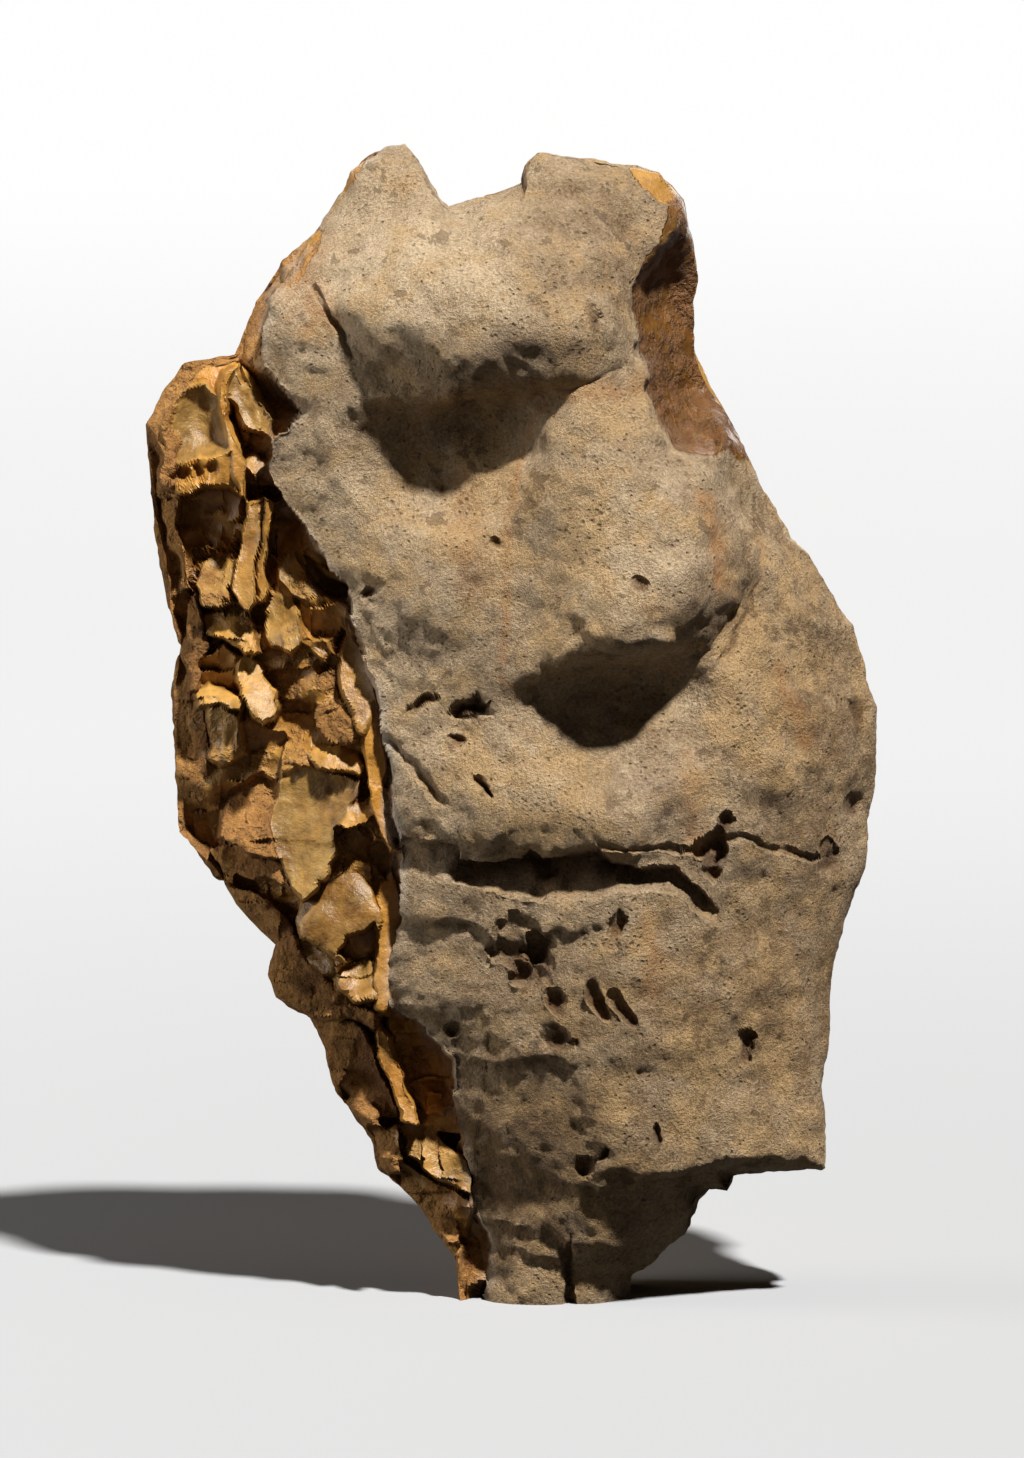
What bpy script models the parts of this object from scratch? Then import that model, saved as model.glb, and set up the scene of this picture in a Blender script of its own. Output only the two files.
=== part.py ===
"""A flint nodule standing on end: pale rind in front, broken honey-coloured flint down the left side.

The stone is one closed surface. Its front is a height map over the outline, its back is another, and a
side band joins them. Lengths in the tables are millimetres: x to the right, z up, and "out" is how far
the front stands towards the viewer, that is, towards -Y. The last step turns them into metres.
"""

import bmesh
import bpy
import numpy as np

NAME = "flint_nodule"
MM = 0.001
SEED = 11

# Sampling of the surface, and the number of facets it is thinned to.
GRID = 120
BAND_ROWS = 10
FACETS = 9600
RIM_SHARE = 0.1

# Lumps that roughen the surface along its normals: size and height.
LUMPS = [(17.0, 0.9), (8.0, 0.3), (4.2, 0.18)]

# The middle that the front and back sheets are folded round, and where the walk of the outline starts.
CENTRE = (0.0, 115.0)
OUTLINE_START = 40.0

# The tables give x and z as they look from a viewer who looks down by this many degrees, so what
# stands nearer to the viewer is really higher. The foot's front corner sets z = 0.
VIEW_TIP = 6.0
FOOT_FRONT = 17.0

# They are also read in perspective, from this far away and at this height, so what stands nearer is
# really a little smaller.
VIEW_DISTANCE = 2000.0
VIEW_HEIGHT = 119.6

# The middle of the stone's box in the tables' x and y, which becomes the origin.
MIDDLE = (0.205, -4.492)

# The silhouette, clockwise from the foot's left end: x, z, the front corner's y, the edge's thickness
# and how far the front rounds over to it.
OUTLINE = [
    (-10.0, -8.0, -6.0, 16.0, 9.0),
    (-12.0, 9.0, -6.0, 14.0, 6.0),
    (-18.0, 20.0, 0.0, 12.0, 4.0),
    (-27.5, 28.5, -5.0, 22.0, 4.0),
    (-29.2, 34.5, -5.0, 23.0, 4.0),
    (-32.5, 38.7, -5.0, 24.0, 4.0),
    (-36.6, 44.5, -5.0, 25.0, 4.0),
    (-38.8, 54.0, -5.0, 26.0, 4.0),
    (-41.8, 59.8, -5.0, 25.0, 4.0),
    (-49.0, 63.9, -3.0, 24.0, 4.0),
    (-50.5, 68.7, -3.0, 24.0, 4.0),
    (-48.8, 75.0, -3.0, 24.0, 4.0),
    (-57.3, 83.2, -3.0, 22.0, 4.0),
    (-62.1, 90.8, -3.0, 22.0, 4.0),
    (-68.7, 98.3, -3.0, 22.0, 4.0),
    (-68.8, 107.0, -3.0, 22.0, 4.0),
    (-70.0, 127.7, -3.0, 22.0, 4.0),
    (-68.6, 137.0, -3.0, 22.0, 4.0),
    (-70.8, 145.2, -3.0, 22.0, 4.0),
    (-74.0, 167.0, -3.0, 22.0, 4.0),
    (-75.3, 182.5, -3.0, 22.0, 4.0),
    (-72.2, 187.7, -3.0, 22.0, 4.0),
    (-67.2, 194.2, -3.0, 21.0, 3.0),
    (-56.9, 196.6, -3.0, 22.0, 3.0),
    (-54.6, 202.0, -3.0, 21.0, 3.0),
    (-51.7, 208.3, 3.0, 14.0, 4.0),
    (-47.0, 216.2, 0.0, 13.0, 5.0),
    (-39.1, 222.4, -2.0, 12.0, 6.0),
    (-34.4, 230.0, -3.0, 12.0, 6.0),
    (-33.0, 234.2, -4.0, 11.0, 5.0),
    (-28.0, 238.0, -5.0, 10.0, 5.0),
    (-22.1, 239.9, -5.0, 10.0, 5.0),
    (-19.4, 236.3, -5.0, 10.0, 5.0),
    (-14.9, 228.0, -5.0, 11.0, 5.0),
    (-13.2, 226.4, -5.0, 12.0, 5.0),
    (-2.5, 230.0, -5.0, 12.0, 5.0),
    (2.1, 231.7, -5.0, 12.0, 5.0),
    (2.9, 235.4, -5.0, 11.0, 5.0),
    (5.4, 237.8, -5.0, 11.0, 6.0),
    (17.2, 237.3, -5.0, 11.0, 6.0),
    (29.8, 233.6, -2.0, 12.0, 6.0),
    (34.8, 228.0, 4.0, 9.0, 4.0),
    (38.1, 213.0, 8.0, 8.0, 3.0),
    (37.0, 207.0, 9.0, 8.0, 3.0),
    (37.4, 197.0, 9.0, 8.0, 3.0),
    (40.0, 190.8, 8.0, 8.0, 3.0),
    (46.8, 180.0, 6.0, 10.0, 4.0),
    (54.4, 165.0, 4.0, 12.0, 8.0),
    (57.6, 158.8, 4.0, 12.0, 10.0),
    (61.2, 155.6, 4.0, 12.0, 10.0),
    (69.5, 141.0, 5.0, 12.0, 12.0),
    (72.8, 130.0, 5.0, 12.0, 12.0),
    (74.9, 124.5, 5.0, 12.0, 12.0),
    (75.1, 108.0, 5.0, 12.0, 12.0),
    (73.6, 102.8, 5.0, 12.0, 12.0),
    (73.4, 94.6, 4.0, 12.0, 12.0),
    (68.9, 81.0, 3.0, 12.0, 10.0),
    (66.6, 67.7, 0.0, 12.0, 10.0),
    (63.7, 46.0, -3.0, 12.0, 8.0),
    (64.7, 36.6, -5.0, 10.0, 6.0),
    (64.6, 28.3, -5.0, 9.0, 5.0),
    (46.1, 26.7, -4.0, 14.0, 5.0),
    (44.7, 23.6, -4.0, 14.0, 5.0),
    (41.0, 24.2, -4.0, 16.0, 5.0),
    (38.5, 22.0, -4.0, 16.0, 5.0),
    (35.8, 15.0, -3.0, 16.0, 6.0),
    (28.6, 8.1, -2.0, 16.0, 8.0),
    (24.8, 6.2, -2.0, 16.0, 8.0),
    (24.0, -8.0, -2.0, 16.0, 10.0),
]

# The outline's left side runs up to the first of these rows, and its right side down from the second.
OUTLINE_TOP_LEFT = 32
OUTLINE_TOP_RIGHT = 39

# Where the rind ends and the broken flint begins, from the foot to the top: x, z.
BORDER = [
    (-5.6, 0.0), (-5.2, 7.7), (-6.6, 13.9), (-8.3, 22.1), (-8.7, 29.4), (-11.8, 37.7), (-12.8, 42.8),
    (-13.4, 51.1), (-19.0, 59.4), (-25.2, 62.5), (-24.6, 67.7), (-23.6, 75.9), (-22.1, 84.2),
    (-22.8, 94.6), (-24.0, 104.9), (-24.8, 113.2), (-26.7, 121.5), (-27.9, 127.7), (-30.4, 133.9),
    (-34.6, 141.1), (-34.6, 149.4), (-39.7, 157.7), (-45.9, 164.9), (-50.0, 171.1), (-49.0, 179.4),
    (-43.9, 185.6), (-51.1, 194.9), (-50.5, 201.0), (-49.0, 210.4), (-42.0, 221.0), (-34.5, 231.0),
    (-24.2, 240.0),
]

# The rind's broad form at nine heights: z, the crest's x, then how far out it stands at the crest, at
# the flint border and at the right-hand edge.
STATIONS = [
    (-4.0, 8.0, 23.0, 14.0, 8.0),
    (32.0, 12.0, 27.0, 18.0, 9.0),
    (64.0, 18.0, 31.0, 20.0, 6.0),
    (97.0, 20.0, 35.0, 24.0, 0.0),
    (130.0, 16.0, 34.0, 24.0, -2.0),
    (165.0, 14.0, 34.0, 18.0, 0.0),
    (200.0, 10.0, 32.0, 17.0, 6.0),
    (222.0, 8.0, 22.0, 12.0, 4.0),
    (242.0, 8.0, 8.0, 5.0, 2.0),
]

# How late the rind falls away from its crest to the flint border and to the right-hand edge.
LEFT_FALL = 2.0
RIGHT_FALL = 1.7

# How far above and below a height its neighbours are averaged in: stations, ridge, border and back.
STATION_REACH = 7.0
RIDGE_REACH = 4.0
BORDER_REACH = 12.0
BACK_REACH = 16.0

# Narrower than this, a part of the outline counts as this wide.
NARROW = 4.0

# Landforms on the rind: name, x, z, the reach to the left, right, down and up, how far out (or in, if
# negative) the middle stands, and how steeply it rises.
SWELLS = [
    ("brow", -3.0, 205.0, 34.0, 34.0, 16.0, 26.0, 12.0, 0.9),
    ("brow shoulder", -34.0, 206.0, 18.0, 22.0, 14.0, 18.0, 2.5, 1.6),
    ("eye hollow", -15.0, 180.0, 22.0, 24.0, 22.0, 10.0, -9.0, 1.2),
    ("eye hollow, inner end", 1.0, 185.0, 20.0, 14.0, 14.0, 7.0, -5.0, 1.5),
    ("cheek", -14.0, 148.0, 24.0, 26.0, 30.0, 20.0, 3.0, 2.0),
    ("hollow below the knob", 23.0, 125.0, 26.0, 24.0, 22.0, 12.0, -7.5, 1.6),
    ("right cheek", 54.0, 112.0, 22.0, 20.0, 36.0, 34.0, 4.0, 2.0),
    ("lip", 18.0, 105.0, 30.0, 24.0, 12.0, 24.0, 4.0, 1.1),
    ("left block", -15.0, 103.0, 12.0, 16.0, 10.0, 16.0, 4.0, 0.9),
    ("chin", 20.0, 62.0, 34.0, 34.0, 26.0, 24.0, 3.0, 2.0),
    ("dip above the foot", -1.0, 27.0, 15.0, 18.0, 12.0, 13.0, -2.0, 1.6),
    ("boss at lower right", 26.0, 34.0, 14.0, 14.0, 16.0, 14.0, 2.5, 1.6),
    ("notch valley", -11.0, 226.0, 12.0, 16.0, 18.0, 14.0, -4.0, 1.6),
]

# The ridge that ends in the knob: z, its crest's x and height, and its reach to the left and the right.
RIDGE = [
    (128.0, 34.5, 16.0, 34.0, 17.5),
    (140.0, 34.5, 17.5, 34.0, 17.5),
    (150.0, 36.5, 17.0, 36.0, 15.5),
    (160.0, 37.0, 13.8, 38.0, 14.0),
    (172.0, 34.0, 10.0, 37.0, 11.5),
    (182.0, 31.0, 6.5, 33.0, 10.0),
    (190.0, 27.0, 3.5, 26.0, 9.0),
    (200.0, 24.0, 0.0, 16.0, 8.0),
]
RIDGE_LEFT_STEEP = 1.6
RIDGE_RIGHT_STEEP = 0.6

# The line where the ridge ends: x, z, how high its rounded end reaches above it, and how bluntly it is
# rounded, from 0.5 for a quarter of an ellipse to 1 for a parabola.
RIDGE_FOOT = [
    (0.0, 131.0, 3.0, 0.5), (7.0, 130.6, 3.0, 0.5), (14.1, 132.2, 8.0, 0.5), (22.3, 131.0, 14.0, 0.5),
    (28.0, 130.5, 20.0, 0.55), (33.0, 132.0, 24.0, 0.8), (38.1, 136.0, 24.0, 1.0), (43.0, 140.0, 24.0, 1.0),
    (47.2, 145.5, 24.0, 1.0), (50.5, 152.0, 22.0, 1.0), (52.3, 158.0, 20.0, 1.0),
]

# Landforms that hang over: x, z, reach sideways, reach down, reach up, how far they sag.
SAGS = [
    (34.0, 142.0, 26.0, 9.0, 24.0, 2.5),
    (-6.0, 194.0, 38.0, 10.0, 20.0, 2.0),
    (10.0, 98.0, 34.0, 7.0, 14.0, 2.5),
]

# Ledges, where the face steps back below a line drawn from left to right: how far it steps back, over
# what height, then x and z along the line.
LEDGES = [
    (3.0, 26.0, [(-16.0, 54.0), (-2.0, 42.0), (12.0, 32.0), (26.0, 25.0), (38.0, 17.0)]),
    (1.4, 2.2, [(-8.0, 18.5), (0.0, 16.8), (8.0, 15.6), (12.0, 13.0)]),
    (1.3, 2.2, [(-6.0, 13.5), (2.0, 12.0), (12.0, 9.0)]),
    (1.2, 2.0, [(6.0, 28.0), (14.0, 26.5), (26.0, 22.0), (34.0, 22.5)]),
    (1.5, 1.8, [(-12.0, 52.0), (-4.0, 51.5), (8.0, 52.5), (12.0, 50.0)]),
    (1.5, 2.5, [(-26.0, 81.0), (-12.0, 80.0), (2.0, 77.0), (14.0, 80.5)]),
]

# Bites out of the rind with a crisp upper edge: x, z, half width, half height, turn in degrees, the
# floor's "out" and how far the wall rises at the bite's edge.
BITES = [
    (41.5, 204.0, 16.5, 30.0, 0.0, -9.0, 36.0),
    (48.0, 185.0, 10.0, 14.0, 35.0, -2.0, 30.0),
]

# Clefts under an overhang, from left to right: x, the upper edge's z, the lower edge's z, the depth.
CLEFTS = [
    [(-26.0, 99.0, 90.0, 0.0), (-22.0, 98.2, 89.0, 2.0), (-12.0, 97.6, 88.2, 3.5), (-10.5, 93.6, 87.6, 5.0),
     (-2.0, 93.2, 85.6, 7.5), (1.2, 94.0, 85.0, 9.0), (3.3, 97.4, 84.8, 10.0), (6.0, 94.2, 84.4, 10.0),
     (11.0, 95.6, 84.2, 9.5), (17.6, 98.4, 84.8, 9.0), (21.0, 94.0, 85.4, 8.0), (27.0, 90.9, 86.0, 6.0),
     (33.7, 90.6, 84.8, 5.0), (36.8, 87.2, 84.0, 4.5), (40.0, 85.9, 81.0, 3.5), (44.0, 82.5, 79.0, 0.0)],
]

# The share of a cleft's height that its upper wall takes, and how its floor climbs to the lower edge.
CLEFT_WALL = 0.14
CLEFT_CLIMB = 0.7

# Grooves along a line: the steep side's width, the gentle side's width, then x, z and depth along it.
GROOVES = [
    (1.6, 3.0, [(-56.0, 195.5, 3.0), (-50.0, 190.0, 5.0), (-42.0, 185.0, 0.0)]),
    (0.6, 1.0, [(-41.0, 211.0, 1.0), (-36.5, 201.5, 1.8), (-33.0, 194.0, 0.0)]),
    (0.9, 1.8, [(-24.6, 118.5, 1.0), (-18.0, 110.0, 2.0), (-11.5, 101.5, 0.0)]),
    (0.8, 1.0, [(40.0, 132.0, 0.6), (45.5, 137.5, 1.6), (50.5, 147.5, 2.0), (52.0, 157.0, 1.6),
                (48.5, 168.0, 1.2), (43.0, 178.0, 0.6)]),
    (0.6, 0.8, [(13.4, 15.0, 0.5), (12.5, 8.0, 2.5), (12.9, -4.0, 3.5)]),
    (0.8, 1.0, [(18.0, 98.7, 0.8), (39.0, 94.5, 1.3), (47.0, 96.6, 1.0), (60.0, 93.5, 1.4),
                (70.0, 94.5, 0.8)]),
]

# Pits in the rind: x, z, half width, half height, turn in degrees, depth.
PITS = [
    (-8.7, 123.1, 4.2, 2.6, 10.0, 3.6),
    (-11.8, 116.3, 1.8, 1.4, 0.0, 1.6),
    (-5.2, 107.6, 2.8, 1.3, -30.0, 2.4),
    (-30.4, 147.3, 1.8, 1.6, 0.0, 1.6),
    (-19.0, 125.0, 3.0, 1.0, 25.0, 1.6),
    (41.4, 93.5, 2.9, 5.0, 0.0, 4.2),
    (43.4, 99.1, 1.6, 1.8, 0.0, 2.4),
    (3.1, 72.2, 6.0, 8.2, 25.0, 1.8),
    (5.0, 74.0, 2.2, 3.6, 30.0, 2.6),
    (0.5, 69.5, 1.6, 2.4, -20.0, 2.2),
    (21.3, 79.0, 2.0, 4.2, -15.0, 2.2),
    (9.5, 61.4, 2.1, 2.6, 0.0, 1.8),
    (18.2, 62.5, 1.2, 4.2, 20.0, 1.8),
    (23.4, 60.4, 1.1, 3.8, 20.0, 1.8),
    (8.9, 54.2, 2.6, 3.2, 0.0, 1.6),
    (-12.4, 56.9, 1.8, 1.6, 0.0, 1.6),
    (64.8, 93.5, 2.0, 2.8, 0.0, 2.6),
    (70.9, 103.0, 2.2, 1.8, 0.0, 2.2),
    (71.0, 122.0, 2.2, 4.6, 0.0, 2.0),
    (30.6, 35.0, 1.4, 2.6, 10.0, 2.4),
    (18.6, 31.4, 2.2, 1.6, 0.0, 2.0),
    (14.6, 29.2, 1.6, 2.2, 0.0, 2.0),
    (37.5, 22.5, 2.2, 2.4, 0.0, 5.0),
    (44.5, 24.5, 1.8, 2.2, 0.0, 5.0),
    (48.8, 53.2, 1.4, 3.8, 0.0, 2.6),
    (16.5, 203.5, 1.6, 3.2, 0.0, 1.8),
    (-3.0, 157.5, 1.2, 1.2, 0.0, 1.2),
    (26.8, 151.9, 1.2, 1.2, 0.0, 1.2),
]

# How ragged a pit's outline is, as a share of its width, and the size of its raggedness.
PIT_RAGGED = 0.42
PIT_RAGGED_SIZE = 2.0

# A pit's upper wall is steep, and its lower wall is gentle.
PIT_UPPER_WALL = 0.5
PIT_LOWER_WALL = 1.3

# Warps that make drawn outlines ragged: size of a wave and how far it carries a point, both ways.
WARPS = [(11.0, 1.3), (4.5, 0.7), (2.0, 0.3)]

# How far the rind's broken rim stands above the flint beside it, and the width of that step.
RIM_STEP = 1.5
RIM_STEP_WIDTH = 1.2

# The flint side falls away ever more steeply, to this far above the front corner of the edge.
FLANK_CURVE = 1.4
FLANK_LIFT = 6.0

# Small chips all over the flint face: size, depth and tilt.
CHIPS = [(12.0, 1.9, 0.55), (6.0, 0.9, 0.50), (3.0, 0.45, 0.50)]

# Glassy flakes, and what share of the smaller chips' relief marks them and the other flakes.
GLASSY = {
    "bowl rim", "bowl", "bowl lip", "lip scallop 1", "lip scallop 2", "lip scallop 3", "rib", "fan blade 1",
    "fan blade 2", "long blade, left face", "long blade, right face", "smooth plate", "honey strip",
    "round flake", "honey blade", "orange blade", "right plate", "tall facet",
}
GLASSY_CHIPS = 0.12
DULL_CHIPS = 0.9

# Flakes struck off down the left side, each laid over the ones before it: name, how far its facet's
# middle stands above the flint face, its slope along x and along z, its dish, and its corners (x, z).
FLAKES = [
    ("bowl rim", 0.8, 0.3, -0.6, 0.0, [(-74.9, 183.5), (-67.7, 194.3), (-56.3, 196.3), (-56.3, 193.5),
     (-57.9, 187.7), (-58.3, 179.4), (-55.0, 173.2), (-54.8, 165.3), (-59.4, 168.0), (-64.6, 169.5),
     (-69.1, 168.6), (-72.2, 171.1), (-74.1, 177.3)]),
    ("bowl", 0.8, 0.15, -0.25, 5.0, [(-72.2, 174.0), (-72.8, 180.4), (-70.3, 185.6), (-66.6, 189.7),
     (-62.1, 190.8), (-59.2, 187.2), (-57.9, 182.5), (-58.6, 176.9), (-62.1, 174.4), (-66.6, 175.2),
     (-69.7, 174.4)]),
    ("bowl lip", 2.2, 0.1, 0.05, 0.0, [(-72.8, 173.6), (-69.7, 174.0), (-66.6, 175.0), (-57.9, 176.1),
     (-54.6, 166.1), (-59.4, 168.4), (-64.6, 169.7), (-68.7, 168.6)]),
    ("lip scallop 1", 1.8, 0.1, -0.35, 1.3, [(-71.2, 171.9), (-69.7, 174.4), (-67.4, 173.6),
     (-67.2, 170.7), (-69.5, 169.5)]),
    ("lip scallop 2", 1.8, 0.1, -0.35, 1.3, [(-67.2, 170.7), (-66.8, 174.0), (-65.2, 174.8),
     (-63.9, 172.8), (-64.6, 170.3)]),
    ("lip scallop 3", 1.8, 0.1, -0.35, 1.3, [(-64.3, 170.3), (-63.7, 173.6), (-61.7, 174.4),
     (-60.6, 171.5), (-61.7, 169.5)]),
    ("cavity wall", -1.5, 0.9, 0.0, 0.0, [(-72.8, 171.5), (-67.9, 168.6), (-67.2, 151.5),
     (-65.8, 147.9), (-68.7, 147.9), (-71.8, 162.8)]),
    ("cavity", -4.5, 0.35, -0.15, 1.5, [(-68.3, 168.6), (-63.5, 169.9), (-58.8, 168.4), (-56.1, 165.3),
     (-56.7, 160.8), (-59.2, 157.5), (-61.2, 157.7), (-63.5, 154.6), (-66.2, 150.0), (-67.4, 151.5),
     (-68.3, 160.8)]),
    ("rib", 2.0, 0.1, -0.15, 0.0, [(-59.2, 193.5), (-56.3, 194.7), (-57.1, 187.7), (-57.9, 183.5),
     (-56.3, 178.3), (-53.6, 173.2), (-54.8, 165.7), (-56.7, 165.9), (-58.1, 173.2), (-59.2, 179.4),
     (-60.0, 187.7)]),
    ("fan blade 1", 0.2, -0.15, -0.45, 0.9, [(-56.3, 194.7), (-54.2, 190.8), (-51.7, 183.5),
     (-51.3, 179.4), (-53.8, 179.4), (-55.7, 181.0), (-57.1, 187.7), (-57.1, 191.8)]),
    ("fan blade 2", 0.2, 0.45, -0.25, 0.9, [(-55.0, 194.5), (-51.7, 189.7), (-48.8, 183.5),
     (-48.8, 179.2), (-51.5, 179.6), (-52.6, 184.6), (-54.2, 190.1)]),
    ("under the fan", -2.5, 0.2, 0.3, 0.0, [(-55.7, 180.2), (-53.2, 179.4), (-48.8, 179.0),
     (-49.7, 176.1), (-52.6, 175.7), (-55.0, 177.3)]),
    ("fan pebble", 0.6, 0.2, -0.4, 0.0, [(-54.2, 175.2), (-51.7, 175.9), (-49.4, 174.4),
     (-50.5, 171.5), (-52.6, 169.0), (-53.8, 170.7)]),
    ("long blade, left face", 1.8, 0.3, -0.3, 0.4, [(-55.2, 165.3), (-51.7, 167.0), (-52.3, 154.6),
     (-53.0, 145.9), (-54.2, 143.6), (-57.1, 145.9), (-58.6, 150.4), (-57.1, 158.7)]),
    ("long blade, right face", 1.4, -0.8, -0.05, 0.3, [(-51.7, 167.4), (-47.8, 165.7), (-49.0, 158.7),
     (-50.1, 148.3), (-50.9, 146.3), (-53.2, 145.5), (-52.3, 154.6)]),
    ("deep hollow", -5.0, 0.3, 0.1, 2.0, [(-47.4, 164.3), (-43.9, 164.9), (-41.6, 160.8),
     (-42.4, 156.2), (-39.1, 152.3), (-34.1, 148.8), (-34.1, 146.3), (-37.7, 145.5), (-40.1, 146.7),
     (-41.4, 150.4), (-44.3, 155.2), (-47.0, 154.3), (-48.2, 150.0), (-50.1, 147.9), (-49.9, 154.6),
     (-48.8, 160.8)]),
    ("ridged flake, top", -1.2, 0.2, -0.8, 0.3, [(-48.4, 150.0), (-47.0, 154.3), (-44.3, 155.4),
     (-41.4, 150.0), (-38.9, 146.3), (-43.9, 144.8), (-45.9, 146.7)]),
    ("ridged flake, foot", -1.2, 0.5, 0.6, 0.0, [(-44.3, 145.0), (-38.9, 146.5), (-35.0, 143.4),
     (-34.8, 138.6), (-38.7, 137.4), (-42.8, 138.6), (-44.9, 142.6)]),
    ("middle flake", 0.0, 0.55, -0.55, 0.6, [(-51.9, 145.7), (-49.7, 147.9), (-48.0, 150.2),
     (-45.5, 146.3), (-44.1, 142.1), (-43.7, 136.8), (-46.3, 134.5), (-50.1, 136.8), (-51.9, 140.1)]),
    ("left point", 0.4, 0.1, -0.8, 0.5, [(-64.8, 153.5), (-62.5, 155.4), (-60.4, 158.5),
     (-57.9, 154.1), (-58.6, 149.4), (-56.9, 145.5), (-59.4, 144.8), (-63.5, 145.9), (-65.8, 149.2)]),
    ("left shelf", 0.3, 0.3, -0.75, 0.3, [(-63.7, 144.6), (-57.3, 145.7), (-53.6, 143.2),
     (-52.6, 138.0), (-51.5, 135.5), (-55.2, 135.5), (-59.4, 137.8), (-62.3, 139.5)]),
    ("left pocket", -2.6, 0.5, 0.6, 0.5, [(-63.7, 135.5), (-59.4, 137.4), (-56.5, 134.9),
     (-56.1, 129.1), (-59.4, 127.5), (-63.3, 129.1)]),
    ("tall facet", 1.0, 0.15, -0.7, 0.5, [(-56.3, 134.9), (-54.0, 136.1), (-51.5, 132.8),
     (-48.8, 127.7), (-48.6, 122.3), (-51.7, 119.6), (-54.2, 121.5), (-55.9, 125.6)]),
    ("tall facet pocket", -3.0, 0.5, 0.4, 0.0, [(-55.4, 122.9), (-51.7, 119.6), (-47.8, 120.0),
     (-47.2, 117.7), (-50.5, 115.5), (-53.4, 113.2), (-54.8, 116.3), (-55.9, 119.8)]),
    ("pale shelf", 1.4, 0.1, -1.1, 0.0, [(-64.8, 127.2), (-61.7, 129.1), (-57.1, 126.8),
     (-55.2, 123.9), (-56.1, 122.1), (-60.0, 124.3), (-64.3, 124.1)]),
    ("plate under the shelf", 0.4, 0.45, 0.25, 0.5, [(-62.7, 124.3), (-59.6, 124.1), (-56.1, 121.9),
     (-54.8, 117.3), (-54.4, 112.3), (-59.2, 111.7), (-62.3, 114.8)]),
    ("left slot", -2.8, 0.8, 0.2, 0.0, [(-65.6, 124.6), (-62.9, 124.1), (-62.1, 115.2), (-62.7, 110.7),
     (-65.2, 112.8)]),
    ("crust post", 0.6, 0.5, -0.1, 0.0, [(-67.4, 146.3), (-65.2, 148.3), (-63.5, 143.2),
     (-61.7, 138.0), (-63.5, 133.9), (-63.9, 127.7), (-66.2, 127.7), (-67.4, 135.9)]),
    ("olive pocket", -2.0, 0.4, 0.6, 0.0, [(-43.9, 136.8), (-40.1, 138.0), (-35.4, 135.1),
     (-35.2, 132.0), (-39.3, 132.8), (-42.8, 134.7)]),
    ("olive sliver", 0.5, 0.3, -0.8, 0.0, [(-43.2, 136.1), (-40.1, 135.9), (-37.4, 134.7),
     (-38.1, 133.2), (-41.6, 134.1)]),
    ("right plate", -0.4, 0.1, -0.3, 0.5, [(-34.8, 141.1), (-33.1, 138.0), (-30.6, 134.9),
     (-28.6, 130.8), (-27.5, 125.6), (-27.7, 122.7), (-29.4, 118.1), (-32.1, 118.1), (-33.5, 122.5),
     (-35.0, 127.7), (-35.4, 135.9)]),
    ("rough patch", 0.2, 0.3, -0.4, 0.0, [(-41.6, 124.3), (-34.6, 125.6), (-32.9, 121.5),
     (-33.3, 116.7), (-38.7, 116.5), (-41.6, 120.0)]),
    ("middle shelf", 1.2, 0.25, -0.95, 0.0, [(-42.6, 114.6), (-38.7, 115.9), (-33.5, 114.4),
     (-31.4, 112.1), (-32.5, 109.7), (-36.6, 110.9), (-40.1, 111.3)]),
    ("smooth plate", -0.2, 0.35, -0.2, 1.0, [(-48.6, 107.6), (-44.3, 109.9), (-40.1, 111.1),
     (-35.6, 110.1), (-32.1, 108.8), (-32.9, 104.9), (-35.8, 100.8), (-37.0, 96.6), (-38.5, 89.8),
     (-43.2, 84.8), (-45.9, 88.1), (-47.8, 92.5), (-49.2, 98.7)]),
    ("rusty shelf", 0.6, 0.5, -0.65, 0.3, [(-58.3, 105.5), (-51.7, 109.0), (-48.2, 107.2),
     (-48.8, 98.7), (-47.6, 92.7), (-51.7, 91.9), (-56.3, 94.3), (-60.2, 96.4)]),
    ("rusty ledge", 1.0, 0.4, -0.9, 0.0, [(-62.5, 94.3), (-56.3, 94.8), (-47.6, 92.3), (-45.5, 87.9),
     (-51.7, 89.8), (-57.3, 90.6), (-61.7, 91.9)]),
    ("ledge pocket", -3.0, 0.5, 0.5, 0.0, [(-61.2, 92.1), (-56.5, 90.8), (-56.1, 87.1), (-59.6, 87.5)]),
    ("tan chip", 2.6, 0.15, -1.1, 0.0, [(-36.8, 100.1), (-34.6, 103.9), (-31.0, 106.1), (-29.0, 105.1),
     (-28.8, 100.8), (-31.9, 100.1), (-34.6, 98.9)]),
    ("tan crumbs", 1.0, 0.1, -0.6, 0.0, [(-31.0, 100.1), (-27.9, 102.6), (-25.4, 97.7), (-26.1, 96.0),
     (-29.0, 96.8)]),
    ("chip pocket", -2.8, 0.4, 0.4, 0.0, [(-36.2, 98.9), (-31.4, 99.5), (-29.0, 96.2), (-25.9, 94.6),
     (-24.0, 90.8), (-25.4, 88.3), (-29.0, 91.9), (-33.5, 94.3), (-35.6, 96.4)]),
    ("lower pocket", -2.8, 0.4, 0.4, 0.0, [(-33.7, 92.7), (-30.4, 92.3), (-26.9, 88.6), (-24.4, 86.3),
     (-25.9, 83.0), (-27.7, 83.8), (-30.0, 88.1)]),
    ("honey strip", 0.8, -0.15, -0.15, 0.0, [(-31.2, 117.7), (-28.3, 125.6), (-27.1, 123.1),
     (-26.3, 109.0), (-24.4, 101.8), (-23.0, 94.1), (-25.2, 94.1), (-27.7, 100.1), (-30.2, 104.9),
     (-31.2, 111.1)]),
    ("round flake", 0.4, 0.25, -0.25, -1.4, [(-43.4, 84.4), (-40.8, 89.0), (-38.1, 88.6),
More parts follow.
